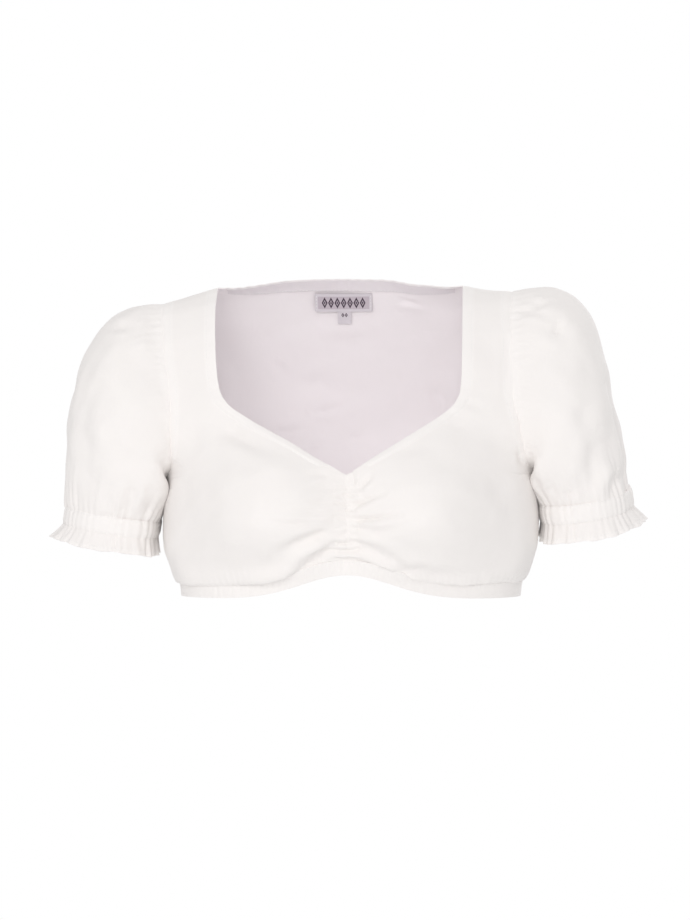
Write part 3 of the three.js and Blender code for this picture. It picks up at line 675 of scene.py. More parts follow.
def line_at(grid, edges, edge, distance, **options):
    """The line that runs at a distance from one edge of a grid."""
    normal = normals_of(grid, options.get("closed", False), options.get("flip", False))
    points = grid + normal * options.get("lift", 0.5)
    away = edges[edge]
    if edge in ("start", "end"):
        picked = [interpolated(away[r], distance, points[r], normal[r]) for r in range(len(grid))]
    else:
        columns = range(grid.shape[1])
        picked = [interpolated(away[:, c], distance, points[:, c], normal[:, c]) for c in columns]
    return np.array([p for p, _ in picked]), np.array([n for _, n in picked])


def interpolated(away, distance, points, normals):
    order = np.argsort(away)
    place = [np.interp(distance, away[order], points[order, k]) for k in range(3)]
    normal = [np.interp(distance, away[order], normals[order, k]) for k in range(3)]
    return np.array(place), np.array(normal)


# Front panels

FRONT_LAST = len(FRONT["inner_x"]) - 1
CORNER_FROM = 5.3  # section above which the neckline's corner is rounded
CORNER_REACH = 0.35
SECTION_SAMPLES = 40
KERNEL_HALF = 30


def front_column(column):
    sections = np.linspace(0, FRONT_LAST, SECTION_SAMPLES * FRONT_LAST + 1)
    values = np.interp(sections, np.arange(FRONT_LAST + 1), FRONT[column])
    kernel = bell(np.arange(-KERNEL_HALF, KERNEL_HALF + 1) / SECTION_SAMPLES, CORNER_REACH)
    kernel /= kernel.sum()
    before = 2 * values[0] - values[KERNEL_HALF:0:-1]
    after = 2 * values[-1] - values[-2:-KERNEL_HALF - 2:-1]
    smooth = np.convolve(np.concatenate([before, values, after]), kernel, "valid")
    share = ease(CORNER_FROM, CORNER_FROM + 0.9, sections) * (1 - ease(15.5, 16.5, sections))
    return lambda at: np.interp(at, sections, mix(values, smooth, share))


front_inner_x = front_column("inner_x")
front_inner_drop = front_column("inner_drop")
front_outer_drop = front_column("outer_drop")

FRONT_COLUMNS = 121
FRONT_ROW_STEP = 1.75


def front_sections():
    parts = []
    for i in range(FRONT_LAST):
        fall = FRONT["outer_drop"][i] - FRONT["outer_drop"][i + 1]
        parts.append(np.linspace(i, i + 1, max(7, math.ceil(fall / FRONT_ROW_STEP)), endpoint=False))
    return np.concatenate([*parts, [FRONT_LAST]])


RUCHE_PITCH = 6.3
RUCHE_SOFT = -182  # above this height the ruching is soft
RUCHE_DEEP = -204  # and below this one it is deepest


def ruche(height):
    """The small folds across the centre strip and out over the panels, by height."""
    drift = 0.35 * np.sin(height / 9.1 + 1.1) + 0.25 * np.sin(height / 5.3 + 2.3)
    size = (0.6 + 0.4 * np.sin(height / 7.3 + 0.6)) * mix(0.5, 1.15, ease(RUCHE_SOFT, RUCHE_DEEP, height))
    return size * np.cos(2 * math.pi * height / RUCHE_PITCH + 2 * drift)


# Creases of the front as the photograph shows them, by pixel
FRONT_CREASES = [
    (332, 523, 300, 524, 256, 520, 2.8, 1.7, 0.3),
    (332, 529, 306, 539, 274, 554, 4.2, 3.4, 0.5),
    (331, 541, 308, 551, 284, 566, 3.6, -1.4, 0),
    (334, 546, 308, 562, 274, 584, 4.8, 4.6, 0.5),
    (330, 500, 318, 505, 306, 520, 7, 1.2, 0),
    (330, 476, 319, 474, 306, 476, 2.8, 1.1, 0),
    (330, 487, 318, 488, 304, 494, 3.4, 0.9, 0),
    (329, 512, 314, 513, 296, 510, 2.8, 0.8, 0),
    (352, 468, 353, 480, 354, 491, 2.2, 1.3, 0),
    (358, 489, 364, 484, 372, 476, 2.2, 2.6, 0.4),
    (350, 510, 364, 502, 384, 494, 2.5, 2.8, 0.5),
    (350, 521, 372, 519, 402, 514, 2.5, 2.8, 0.4),
    (350, 529, 359, 528, 370, 527, 2.0, 1.5, 0),
    (368, 533, 384, 531, 402, 526, 3.4, 1.5, 0),
    (352, 544, 372, 550, 404, 563, 4.2, 3.0, -0.4),
    (356, 537, 376, 540, 398, 546, 3.2, -0.9, 0),
    (384, 571, 404, 571, 430, 564, 3.0, 1.9, 0.3),
    (388, 561, 424, 573, 478, 576, 4.8, 4.6, -0.4),
    (222, 430, 246, 441, 276, 455, 6.5, 3.2, 0.5),
    (430, 442, 410, 450, 392, 462, 6.0, 0.8, 0),
    (518, 451, 520, 459, 521, 467, 2.6, 1.6, 0.4),
    (176, 460, 171, 468, 166, 478, 7.0, 1.6, 0),
    (205, 577, 240, 583, 276, 581, 5.0, 1.6, 0),
    (462, 402, 476, 406, 486, 408, 3.6, 1.0, 0),
    (452, 426, 460, 427, 468, 426, 2.6, 0.7, 0),
    (506, 330, 508, 362, 506, 398, 4.0, 1.1, 0),
    (437, 530, 446, 536, 460, 541, 4.4, 0.8, 0),
    (494, 420, 500, 440, 512, 470, 9, 1.0, 0),
    (196, 420, 190, 446, 184, 476, 9, 1.0, 0),
]
# How far the front blouses over the hem casing and hangs down there, by place across it
OVERHANG = {
    "x": (-145, -110, -84, -62, -45, -28, -12, 6, 24, 42, 62, 90, 118, 142),
    "rise": (1.4, 1.8, 2.4, 3.4, 3.6, 2.4, 0.9, 0.6, 1.0, 1.8, 3.4, 3.6, 2.0, 0.9),
    "hang": (3.2, 5.2, 4.6, 3.8, 3.6, 2.6, 1.0, 0.6, 1.1, 2.6, 4.6, 4.6, 2.8, 1.4),
}
FACING = 9
FACING_SECTIONS = (5.02, 10.35)
STITCH_SECTION = 5.15
FRONT_PITCH = 6.2
HEM_TUCK = 2.0  # how far a panel runs down behind the hem casing
RUCHE_DEPTH = 1.0


def front_folds(grid, up):
    """The creases and the blousing over the hem casing, alike on the panels and on the strip between them."""
    folds = seen_creases(grid, FRONT_CREASES) * ease(-1, 5, up)
    px, _ = seen(grid)
    swell, hang = blousing((px - CENTRE_PIXEL_X) * MM_PER_PIXEL, up)
    return folds + swell, hang


def blousing(across, up):
    """How far the cloth bulges over the hem casing, and how far it hangs down there."""
    swell = np.interp(across, OVERHANG["x"], OVERHANG["rise"])
    swell = swell * (bell(up - 7, 5.5) - 0.15 * bell(up - 0.5, 2))
    hang = np.interp(across, OVERHANG["x"], OVERHANG["hang"])
    return swell, hang * bell(up - 4, 3.5) * ease(-0.5, 2, up)


def front_grid(side):
    sections = front_sections()[:, None]
    inner_drop, outer_drop = front_inner_drop(sections), front_outer_drop(sections)
    start = share_at(front_inner_x(sections) - 0.6 * (1 - ease(5, 5.3, sections)), inner_drop)
    end = share_at(side_x(outer_drop, armhole_front) * JUST_INSIDE, outer_drop)
    t = np.linspace(0, 1, FRONT_COLUMNS)[None, :]
    u = mix(start, end, t)
    angle = ring_angle(u * RING_LENGTH)
    v = sections / FRONT_LAST
    arch = hem_front(angle) + HEM_TUCK - mix(FRONT["inner_drop"][0], FRONT["outer_drop"][0], t)
    drop = mix(inner_drop, outer_drop, t) + arch * (1 - ease(0, 0.22, v))
    grid = front_point(side * angle, drop)
    edges = from_edges(grid)
    flip = side < 0
    up = edges["bottom"] - HEM_TUCK
    offset, hang = front_folds(grid, up)
    reach = 8 + 9 * np.sin(u * RING_LENGTH / 19 + 1 + side) ** 2
    offset += 0.36 * gathers(u * RING_LENGTH, FRONT_PITCH, 11 + side) * bell(up, reach)
    strip = edges["start"]
    beside = 1 - ease(4.9, 5.3, sections)
    height = grid[:, :1, 2]
    fan = 6 + 10 * np.sin(height / 11 + side) ** 2
    offset += RUCHE_DEPTH * ruche(height) * np.exp(-((strip / fan) ** 1.5)) * beside * ease(0, 4, up)
    slant = ease(5.1, 5.4, sections) * (1 - ease(9.4, 10.2, sections))
    strap = ease(10, 10.6, sections)
    offset += seam_dip(strip - FACING, 0.4, 2.2) * slant + seam_ridge(strip, 5, 0.5, 5) * slant
    offset += seam_dip(strip - FACING, 0.12, 1.4) * strap + seam_ridge(strip, 5, 0.2, 5) * strap
    hole = ease(5.0, 5.5, sections)
    offset += seam_ridge(edges["end"], 5, 0.25, 5) * hole + seam_dip(edges["end"], 0.2, 1.3)
    offset -= 0.9 * bell(np.maximum(edges["bottom"], 0), 3)
    calm = 1 - 0.6 * bell(edges["top"], 6)
    offset += (ripple(grid, 5, 46, 0.6) + ripple(grid, 6, 19, 0.2)) * calm
    grid = moved(grid, offset, flip=flip)
    grid[..., 2] -= hang
    tone = np.clip(ease(11, 8, edges["end"]) * hole + ease(11, 8.5, strip) * (slant + strap), 0, 1)
    return grid, edges, tone


for hand, arm in ARMS.items():
    side = arm["side"]
    grid, edges, tone = front_grid(side)
    flip = side < 0
    cloth(f"front_{hand}", with_allowance(grid, ("end",), flip, True), flip=flip,
          seam=padded_like(tone, ("end",), True))
    first = int(np.argmax(front_sections() >= STITCH_SECTION))
    upper = grid[first:]
    upper_edges = from_edges(upper)
    lines = [
        line_at(upper, upper_edges, "start", FACING - 1.2, flip=flip, lift=0.47),
        line_at(upper, upper_edges, "end", 7.5, flip=flip, lift=0.47),
    ]
    stitch_rows(f"front_{hand}_stitches", lines)
    # The facing, turned out along the slanted edge
    sections = front_sections()
    rows = (sections >= FACING_SECTIONS[0]) & (sections <= FACING_SECTIONS[1])
    band = grid[rows]
    distance = from_edges(band)["start"]
    normal = normals_of(grid, flip=flip)[rows]
    across = np.linspace(-0.15, FACING - 0.6, 15)
    made = [[interpolated(distance[r], a, band[r], normal[r]) for a in across] for r in range(len(band))]
    made = np.array(made)
    rise = 0.55 - 0.25 * ease(FACING - 3, FACING, across)[None, :, None]
    facing = made[:, :, 0] + made[:, :, 1] * rise
    facing += made[:, :, 1] * (0.12 * gathers(lengths_along(facing, 0)[:, :1], 9, 31 + side))[..., None]
    cloth(f"neck_facing_{hand}", facing, thickness=0.4, flip=flip, seam=np.full(facing.shape[:2], 0.6))

# Ruched centre strip

u = np.linspace(0, 1, 31)[None, :]
v = np.linspace(0, 1, 171)[:, None]
x = mix(-STRIP_HALF - 0.4, STRIP_HALF + 0.4, u)
top = V_DROP - V_SLOPE * np.abs(x)
bottom = hem_front(angle_at(x, HEM_TOP)) + HEM_TUCK
drop = mix(bottom, top, v)
across = x / STRIP_HALF
strip = front_point(angle_at(x, drop), drop)
wander = 0.7 * np.sin(2.1 * across + v * 13) + 0.5 * np.sin(4.3 * across + v * 29 + 1)
lift = RUCHE_DEPTH * ruche(strip[..., 2] + wander * (1 - across**2))
lift *= 1 + 0.4 * (1 - across**2)
from_hem = lengths_along(strip, 0) - HEM_TUCK
from_neck = lengths_along(strip, 0)[-1:] - lengths_along(strip, 0)
lift *= ease(0, 4, from_hem) * ease(0, 3, from_neck)
folds, hang = front_folds(strip, from_hem)
lift -= 0.9 * bell(lengths_along(strip, 0), 3)
strip = moved(strip, lift + folds + ripple(strip, 5, 46, 0.6) + 0.12)
strip[..., 2] -= hang
cloth("centre_strip", strip)

# Back

NECK_SHARE = float(share_at(NECK_HALF, 0))
BACK_COLUMNS = 181
BACK_CLIMB = 1.7
BACK_BLOUSING = 30
# Creases of the back that show through the neck opening, by pixel
BACK_INNER_CREASES = [
    (316, 412, 330, 409, 348, 404, 3.0, -1.8, 0),
    (272, 431, 288, 431, 302, 428, 3.0, -2.1, 0),
    (304, 450, 316, 447, 332, 447, 2.6, -1.4, 0),
    (330, 379, 310, 384, 292, 392, 6, -1.2, 0),
    (345, 436, 352, 439, 362, 438, 3.5, -1.0, 0),
    (398, 300, 412, 302, 424, 306, 2.2, -1.4, 0),
    (272, 362, 280, 368, 286, 376, 4, -1.2, 0),
    (432, 388, 440, 398, 446, 412, 5, -1.4, 0),
]
# Soft drags of the back's outside, in millimetres as seen from the front
BACK_CREASES = [
    (-118, -196, -84, -176, -44, -170, 8, 2.5, 0),
    (-126, -150, -98, -140, -70, -142, 9, 2.7, 0.3),
    (-60, -222, -38, -206, -14, -200, 7, 2.2, 0),
    (134, -160, 104, -150, 72, -154, 9, 2.9, -0.3),
    (128, -206, 96, -190, 58, -188, 8, 2.4, 0),
    (70, -228, 48, -214, 26, -210, 6, 2.0, 0),
    (-30, -96, 6, -102, 44, -95, 10, 2.0, 0),
    (-106, -60, -98, -88, -102, -120, 9, 2.2, 0),
    (112, -52, 106, -84, 110, -116, 9, 2.2, 0),
    (-22, -30, 4, -33, 30, -29, 6, 1.4, 0),
]

climb_steps = np.concatenate([np.linspace(0, 0.94, 105, endpoint=False), np.linspace(0.94, 1, 15)])
v = climb_steps[:, None]
climb = 1 - (1 - v) ** BACK_CLIMB
end_drop = HEM_TOP * (1 - climb)
end = share_at(side_x(end_drop, armhole_back) * JUST_INSIDE, end_drop)
u = np.linspace(-1, 1, BACK_COLUMNS)[None, :] * end
share = np.abs(u)
angle = ring_angle(share * RING_LENGTH)
top_x = torso_half(0) * np.sin(angle) ** ROUNDNESS
top_drop = NAPE_DROP * np.cos(math.pi * np.minimum(top_x / NECK_HALF, 1) / 2) ** 2
hem = hem_back(np.minimum(share / end, 1)) + HEM_TUCK
drop = mix(hem, top_drop, climb)
back = back_point(np.sign(u) * angle, drop)
edges = from_edges(back)
offset = seen_creases(back, BACK_INNER_CREASES)
offset += creases(back[..., 0], back[..., 2], BACK_CREASES)
reach = 10 + 8 * np.sin(u * RING_LENGTH / 23 + 2) ** 2
up = edges["bottom"] - HEM_TUCK
offset *= ease(-1, 5, up)
offset += 0.7 * gathers(u * RING_LENGTH, FRONT_PITCH, 41) * bell(up, reach)
offset -= 0.45 * bell(edges["bottom"], 3)
on_neck = 1 - ease(NECK_SHARE * 0.93, NECK_SHARE, share)
offset += 0.3 * gathers(u * RING_LENGTH, 8.5, 43) * bell(edges["top"], 14) * on_neck
offset += seam_dip(edges["top"] - 10, 0.3, 1.3) * on_neck
nearest_side = np.minimum(edges["start"], edges["end"])
hole = ease(UNDERARM, UNDERARM - 10, end_drop)
offset += seam_ridge(nearest_side, 5, 0.25, 5) * hole + seam_dip(nearest_side, 0.2, 1.3)
offset += ripple(back, 5, 46, 0.6) + ripple(back, 6, 19, 0.2)
# Beside the side seams the back blouses over the casing as the front does there
swell, hang = blousing(np.where(u < 0, OVERHANG["x"][0], OVERHANG["x"][-1]), up)
beside = bell(nearest_side, BACK_BLOUSING)
back = moved(back, offset + swell * beside, flip=True)
back[..., 2] -= hang * beside
tone = np.clip(ease(11, 8, nearest_side) * hole + ease(11.5, 9.5, edges["top"]) * on_neck, 0, 1)
both_sides = ("start", "end")
cloth("back", with_allowance(back, both_sides, True), flip=True, seam=padded_like(tone, both_sides))
back_edges = from_edges(back)
neck_columns = np.abs(u[-1]) < NECK_SHARE * 0.98
neck_part = back[:, neck_columns]
neck_edges = from_edges(neck_part)
stitch_rows("back_stitches", [line_at(neck_part, neck_edges, "top", 9, flip=True, lift=0.55)])


def inner_band(source, edges, columns, near, far, steps, lift):
    """A band on the inside of a cloth, between two distances below its top edge."""
    normal = normals_of(source, flip=True)
    places = np.linspace(far, near, steps)
    away = edges["top"]
    made = [[interpolated(away[:, c], p, source[:, c], normal[:, c]) for c in columns] for p in places]
    made = np.array(made)
    return made[:, :, 0] - made[:, :, 1] * lift


casing_columns = np.flatnonzero(np.abs(u[-1]) < NECK_SHARE * 0.95)
casing = inner_band(back, back_edges, casing_columns, 0.6, 11, 12, 1.0)
# The casing's inner face carries painted shade.
cloth("back_neck_casing", casing, thickness=0.7, flip=True, seam=np.ones(casing.shape[:2]),
      material=CASING_PAINTED_SHADE_COTTON)
stitch_rows("back_neck_casing_stitches", [grid_line(casing, row=1, flip=False, lift=0.42)])


# Label and tag inside the back


HALVINGS = 24


def back_drop_at(x, height):
    """The drop at which the back has a height, found by halving."""
    above, below = np.zeros_like(height), np.full_like(height, 120.0)
    for _ in range(HALVINGS):
        middle = (above + below) / 2
        higher = height_at(x, middle, True) > height
        above, below = np.where(higher, middle, above), np.where(higher, below, middle)
    return (above + below) / 2


def inside_back(x0, x1, top, bottom, columns, rows, lift, curl):
    u = np.linspace(0, 1, columns)[None, :]
    v = np.linspace(0, 1, rows)[:, None]
    x = mix(x0, x1, u) + 0 * v
    drop = back_drop_at(x, mix(bottom, top, v) + 0 * u)
    away = curl * (1 - v) ** 2 * (0.6 + 0.4 * np.cos(2 * math.pi * u + 0.6))
    return back_point(angle_at(x, drop), drop, -lift - away)


LABEL_LIFT = 2.65
TAG_LIFT = LABEL_LIFT - 0.4
label = inside_back(-24.6, 24.4, top=-2.8, bottom=-17.4, columns=41, rows=15, lift=LABEL_LIFT, curl=1.1)
cloth("label", label, thickness=0.7, flip=True, material=WOVEN_LABEL, inner=0, layout=True)
tag = inside_back(-5.4, 6.2, top=-16.5, bottom=-27.6, columns=15, rows=15, lift=TAG_LIFT, curl=1.3)
cloth("size_tag", tag, thickness=0.6, flip=True, material=WOVEN_TAG, inner=0, layout=True)
stitch_rows("label_stitches", [grid_line(label, column=c, flip=False, lift=0.4) for c in (1, -2)])

# Hem casing

HEM_GATHERS = 5.2
HEM_COLUMNS = 601
BAND_ROWS = 15
CASING_THICKNESS = 1.6
CASING_STITCH_LIFT = 0.85
HEM_TURN = 3.2  # how far the casing's lower edge turns in below the wearer's left cup


def hem_band(node, is_back):
    u = np.linspace(-1, 1, HEM_COLUMNS)[None, :]
    v = np.linspace(0, 1, BAND_ROWS)[:, None]
    angle = np.sign(u) * ring_angle(np.abs(u) * RING_LENGTH)
    top = hem_back(np.abs(u)) if is_back else hem_front(angle)
    drop = top - 0.2 + (HEM_BAND + 0.2) * (1 - v)
    waves = gathers(u * RING_LENGTH, HEM_GATHERS, 51 + is_back)
    rest = gathers(u * RING_LENGTH, HEM_GATHERS * 1.6, 53 + is_back)
    swell = 0.4 + 0.5 * np.sin(math.pi * v) ** 0.6
    fade = ease(0, 0.03, 1 - np.abs(u))
    turned = 0 * u if is_back else ease(0.12, 0.42, u) * (1 - ease(0.8, 1, u))
    fade = fade * (1 - 0.55 * turned)
    lift = swell + fade * (0.24 * waves * (0.5 + 0.5 * v) + 0.22 * rest * (1 - 0.5 * v))
    lift -= HEM_TURN * turned * (1 - v)
    point = back_point if is_back else front_point
    band = point(angle, drop, lift - 0.35)
    # Painted shade: where the casing turns under below the wearer's left cup, it loses the whiter tone of doubled
    # cloth, standing in for the shade on that part.
    cloth(node, band, thickness=CASING_THICKNESS, flip=is_back, seam=0.6 * (1 - turned) + 0 * v)
    return grid_line(band, row=12, flip=is_back, lift=CASING_STITCH_LIFT)


stitch_rows("hem_stitches", [hem_band("hem_casing_front", False), hem_band("hem_casing_back", True)])

# Sleeves


def armhole_curve(side):
    """The armhole as a closed curve, by share of its length round from the shoulder tip over the front."""
    drop = UNDERARM * np.linspace(0, 1, 241) ** 2
    front = front_point(side * angle_at(side_x(drop, armhole_front) * JUST_INSIDE, drop), drop)
    rear = back_point(side * angle_at(side_x(drop, armhole_back) * JUST_INSIDE, drop), drop)
    line = np.concatenate([front, rear[::-1][1:]])
    length = np.concatenate([[0], np.cumsum(np.linalg.norm(np.diff(line, axis=0), axis=1))])
    return lambda at: np.stack([np.interp(at * length[-1], length, line[:, k]) for k in range(3)], -1)


def cuff_frame(arm):
    side, splay, back = arm["side"], CUFF["splay"], math.radians(arm["back"])
    plumb = np.array([side * math.sin(splay), 0, -math.cos(splay)])
    rear = np.array([0, 1, 0])
    return {
        "down": plumb * math.cos(back) + rear * math.sin(back),
        "out": np.array([side * math.cos(splay), 0, math.sin(splay)]),
        "fore": plumb * math.sin(back) - rear * math.cos(back),
        "centre": np.array([side * arm["x"], 0, arm["z"]]),
        "across": arm["across"],
        "close": arm["close"],
    }


def cuff_point(place, around, below, grow=0):
    turn = 2 * math.pi * around
    grow = grow + squared(around) + place["close"] * near_body(around)
    below, turn, grow = np.broadcast_arrays(below, turn, grow)
    point = place["centre"] + below[..., None] * place["down"]
    point = point + (np.cos(turn) * (place["across"] + grow))[..., None] * place["out"]
    point = point + (np.sin(turn) * (CUFF["fore"] + grow))[..., None] * place["fore"]
    return worn(point[..., 0], point[..., 1], point[..., 2])


def near_body(around):
    return bell(around - 0.5, 0.1)


def flatter(around):
    """The drawn-in cloth lies flatter where a cuff faces the front."""
    return 1 - 0.65 * bell(around - 0.23, 0.1)


SQUARING = 4.0  # how much fuller than an oval the arm side of a cuff is where it faces the front and back


def squared(around):
    """The sleeve stays turned to the front until close to the body, so its oval is fuller there."""
    turn = 2 * math.pi * around
    return SQUARING * np.sin(2 * turn) ** 2 * (np.cos(turn) < 0)


sleeve_out = curve_of(SLEEVE, "out", "around")
sleeve_fore = curve_of(SLEEVE, "fore", "around")
sleeve_up = curve_of(SLEEVE, "up", "around")
sleeve_rise = curve_of(SLEEVE, "rise", "around")
sleeve_puff = curve_of(SLEEVE, "puff", "around")

SLEEVE_COLUMNS = 360
SLEEVE_ROWS = 96
CUFF_GATHERS = 42
HEAD_GATHERS = 58

# Folds of the sleeves by pixel, on the side that the photograph shows
SLEEVE_CREASES = {
    "right": [
        (98, 345, 90, 385, 92, 415, 11, 1.6, 0),
        (82, 400, 84, 455, 83, 512, 7, 1.9, 0.3),
        (98, 440, 97, 480, 92, 512, 6, 1.1, 0),
        (112, 480, 108, 495, 104, 514, 5, 1.3, 0),
        (134, 485, 130, 500, 127, 517, 5, 1.4, 0),
        (152, 480, 148, 500, 143, 520, 5, 1.8, 0.3),
        (166, 478, 161, 500, 155, 524, 5, 1.8, 0),
        (110, 326, 120, 325, 130, 324, 3.4, 1.5, -0.4),
        (134, 312, 128, 340, 130, 372, 9, 1.2, 0),
        (148, 309, 152, 330, 150, 352, 6, 1.2, 0),
        (118, 318, 108, 336, 102, 360, 7, 1.2, 0),
        (140, 400, 146, 430, 144, 460, 12, 1.0, 0),
    ],
    "left": [
        (533, 305, 540, 304, 549, 301, 3.0, 2.0, -0.5),
        (516, 312, 534, 312, 548, 316, 3.2, 1.2, 0),
        (552, 335, 558, 326, 558, 318, 3.6, 1.5, 0),
        (560, 322, 564, 350, 565, 384, 9, 1.3, 0),
        (580, 318, 588, 360, 590, 410, 12, 1.7, 0),
        (583, 402, 585, 416, 586, 436, 7, 1.1, 0),
        (596, 436, 593, 464, 590, 498, 7, 2.4, 0.3),
        (610, 430, 612, 452, 614, 474, 7, 1.5, 0),
        (622, 470, 614, 484, 610, 500, 5, 3.0, 0.3),
        (628, 478, 626, 488, 622, 498, 4, 1.4, 0),
        (548, 484, 552, 496, 553, 508, 5, 1.6, 0),
        (566, 490, 567, 498, 567, 507, 5, 1.3, 0),
        (578, 466, 580, 482, 580, 502, 5, 0.8, 0),
        (532, 474, 538, 492, 543, 512, 5, 2.4, 0.3),
        (524, 396, 532, 424, 538, 452, 10, 0.9, 0),
    ],
}
# Folds all round, by share of the way round and of the way down: where, how wide, how deep and how slanted
SLEEVE_FOLDS = {
    "at": (0.03, 0.10, 0.92, 0.83, 0.74, 0.66, 0.60, 0.88, 0.79, 0.70, 0.97, 0.05, 0.94),
    "from": (0.04, 0.06, 0.05, 0.08, 0.05, 0.10, 0.10, 0.55, 0.50, 0.55, 0.58, 0.60, 0.62),
    "to": (0.42, 0.36, 0.45, 0.40, 0.46, 0.42, 0.40, 1.00, 1.00, 1.00, 1.00, 1.00, 1.00),
    "width": (0.022, 0.017, 0.020, 0.023, 0.018, 0.024, 0.018, 0.020, 0.024, 0.021, 0.018, 0.017, 0.019),
    "depth": (1.6, 1.2, 2.2, 2.9, 2.5, 2.7, 2.0, 2.7, 3.3, 2.7, 2.0, 1.5, 2.2),
    "slant": (0.03, -0.02, 0.02, -0.03, 0.02, 0.03, -0.02, 0.02, -0.03, 0.02, -0.02, 0.02, -0.03),
}

SHOWN_GAIN = 1.35  # how much deeper the folds that the photograph shows are than their rows say
# Where the sleeve fills out beside the body, by share of the way round, and how far
INNER_BULGES = ((0.40, 6.0), (0.60, 4.0))


def sleeve_grid(arm, seed):
    side = arm["side"]
    place = cuff_frame(arm)
    around = np.arange(SLEEVE_COLUMNS)[None, :] / SLEEVE_COLUMNS
    v = (np.linspace(0, 1, SLEEVE_ROWS) ** 0.9)[:, None]
    turn = 2 * math.pi * around
    outer = np.cos(turn / 2) ** 4
    out = sleeve_out(around) + arm["head_out"] * outer
    leave = np.stack([side * out, -sleeve_fore(around), sleeve_up(around) + arm["head_up"] * outer], -1)
    radial = np.cos(turn)[..., None] * place["out"] + np.sin(turn)[..., None] * place["fore"]
    aim = leave / np.linalg.norm(leave, axis=2, keepdims=True)
    start = armhole_curve(side)(around) - aim * TUCK
    end = cuff_point(place, around, 0.0)
    first = start + leave
    puff = sleeve_puff(around) + arm["outer_puff"] * outer
    second = end - sleeve_rise(around)[..., None] * place["down"] + puff[..., None] * radial
    w, t = (1 - v)[..., None], v[..., None]
    grid = w**3 * start + 3 * w * w * t * first + 3 * w * t * t * second + t**3 * end
    from_tip = np.minimum(around, 1 - around)
    down = lengths_along(grid, 0)
    upward = down[-1:] - down
    head = 1 - ease(0.13, 0.24, from_tip)
    reach = 9 + 14 * np.sin(5 * turn + seed) ** 2
    offset = (0.2 + 0.4 * head) * ring_gathers(turn, HEAD_GATHERS, seed) * bell(down, reach)
    offset *= ease(0, 2.5, down)
    reach = 12 + 14 * np.sin(4 * turn + seed + 1) ** 2
    calm = (1 - 0.6 * near_body(around)) * flatter(around)
    offset += 0.95 * calm * ring_gathers(turn, CUFF_GATHERS, CUFF_SEED + side) * bell(upward, reach)
    coarse = 0.65 * calm * ring_gathers(turn, CUFF_GATHERS // 2, seed + 5)
    offset += coarse * bell(upward, 34) * ease(0, 12, upward)
    for k in range(len(SLEEVE_FOLDS["at"])):
        fold = {key: values[k] for key, values in SLEEVE_FOLDS.items()}
        middle = fold["at"] + side * 0.012 + fold["slant"] * (v - 0.5)
        away = np.abs((around - middle + 0.5) % 1 - 0.5) / fold["width"]
        length = ease(fold["from"], fold["from"] + 0.12, v)
        if fold["to"] < 1:
            length = length * (1 - ease(fold["to"] - 0.2, fold["to"], v))
        offset -= fold["depth"] * length * trough(away)
    normal = normals_of(grid, closed=True, flip=side < 0)
    shown = ease(-0.1, -0.5, normal[..., 1])
    rows = SLEEVE_CREASES["right" if side < 0 else "left"]
    offset += SHOWN_GAIN * shown * seen_creases(grid, rows)
    offset += ripple(grid, 8, 60, 1.0) + ripple(grid, 9, 24, 0.4) * ease(0, 8, down) * ease(0, 6, upward)
    for middle, size in INNER_BULGES:
        offset += size * bell(around - middle, 0.06) * bell(v - 0.58, 0.28)
    offset *= ease(0.5, 6, down)
    offset += 0.3 * bell(down, 4)
    offset += seam_ridge(upward, 2, -0.15, 2)
    return moved(grid, offset, closed=True, flip=side < 0), down


TUCK = 1.2
CUFF_SEED = 61


def cuff_waves(turn, side, size):
    around = turn / (2 * math.pi)
    size = size * (1 - 0.45 * near_body(around)) * flatter(around)
    return size * ring_gathers(turn, CUFF_GATHERS, CUFF_SEED + side)


RUFFLE_COLUMNS = 540

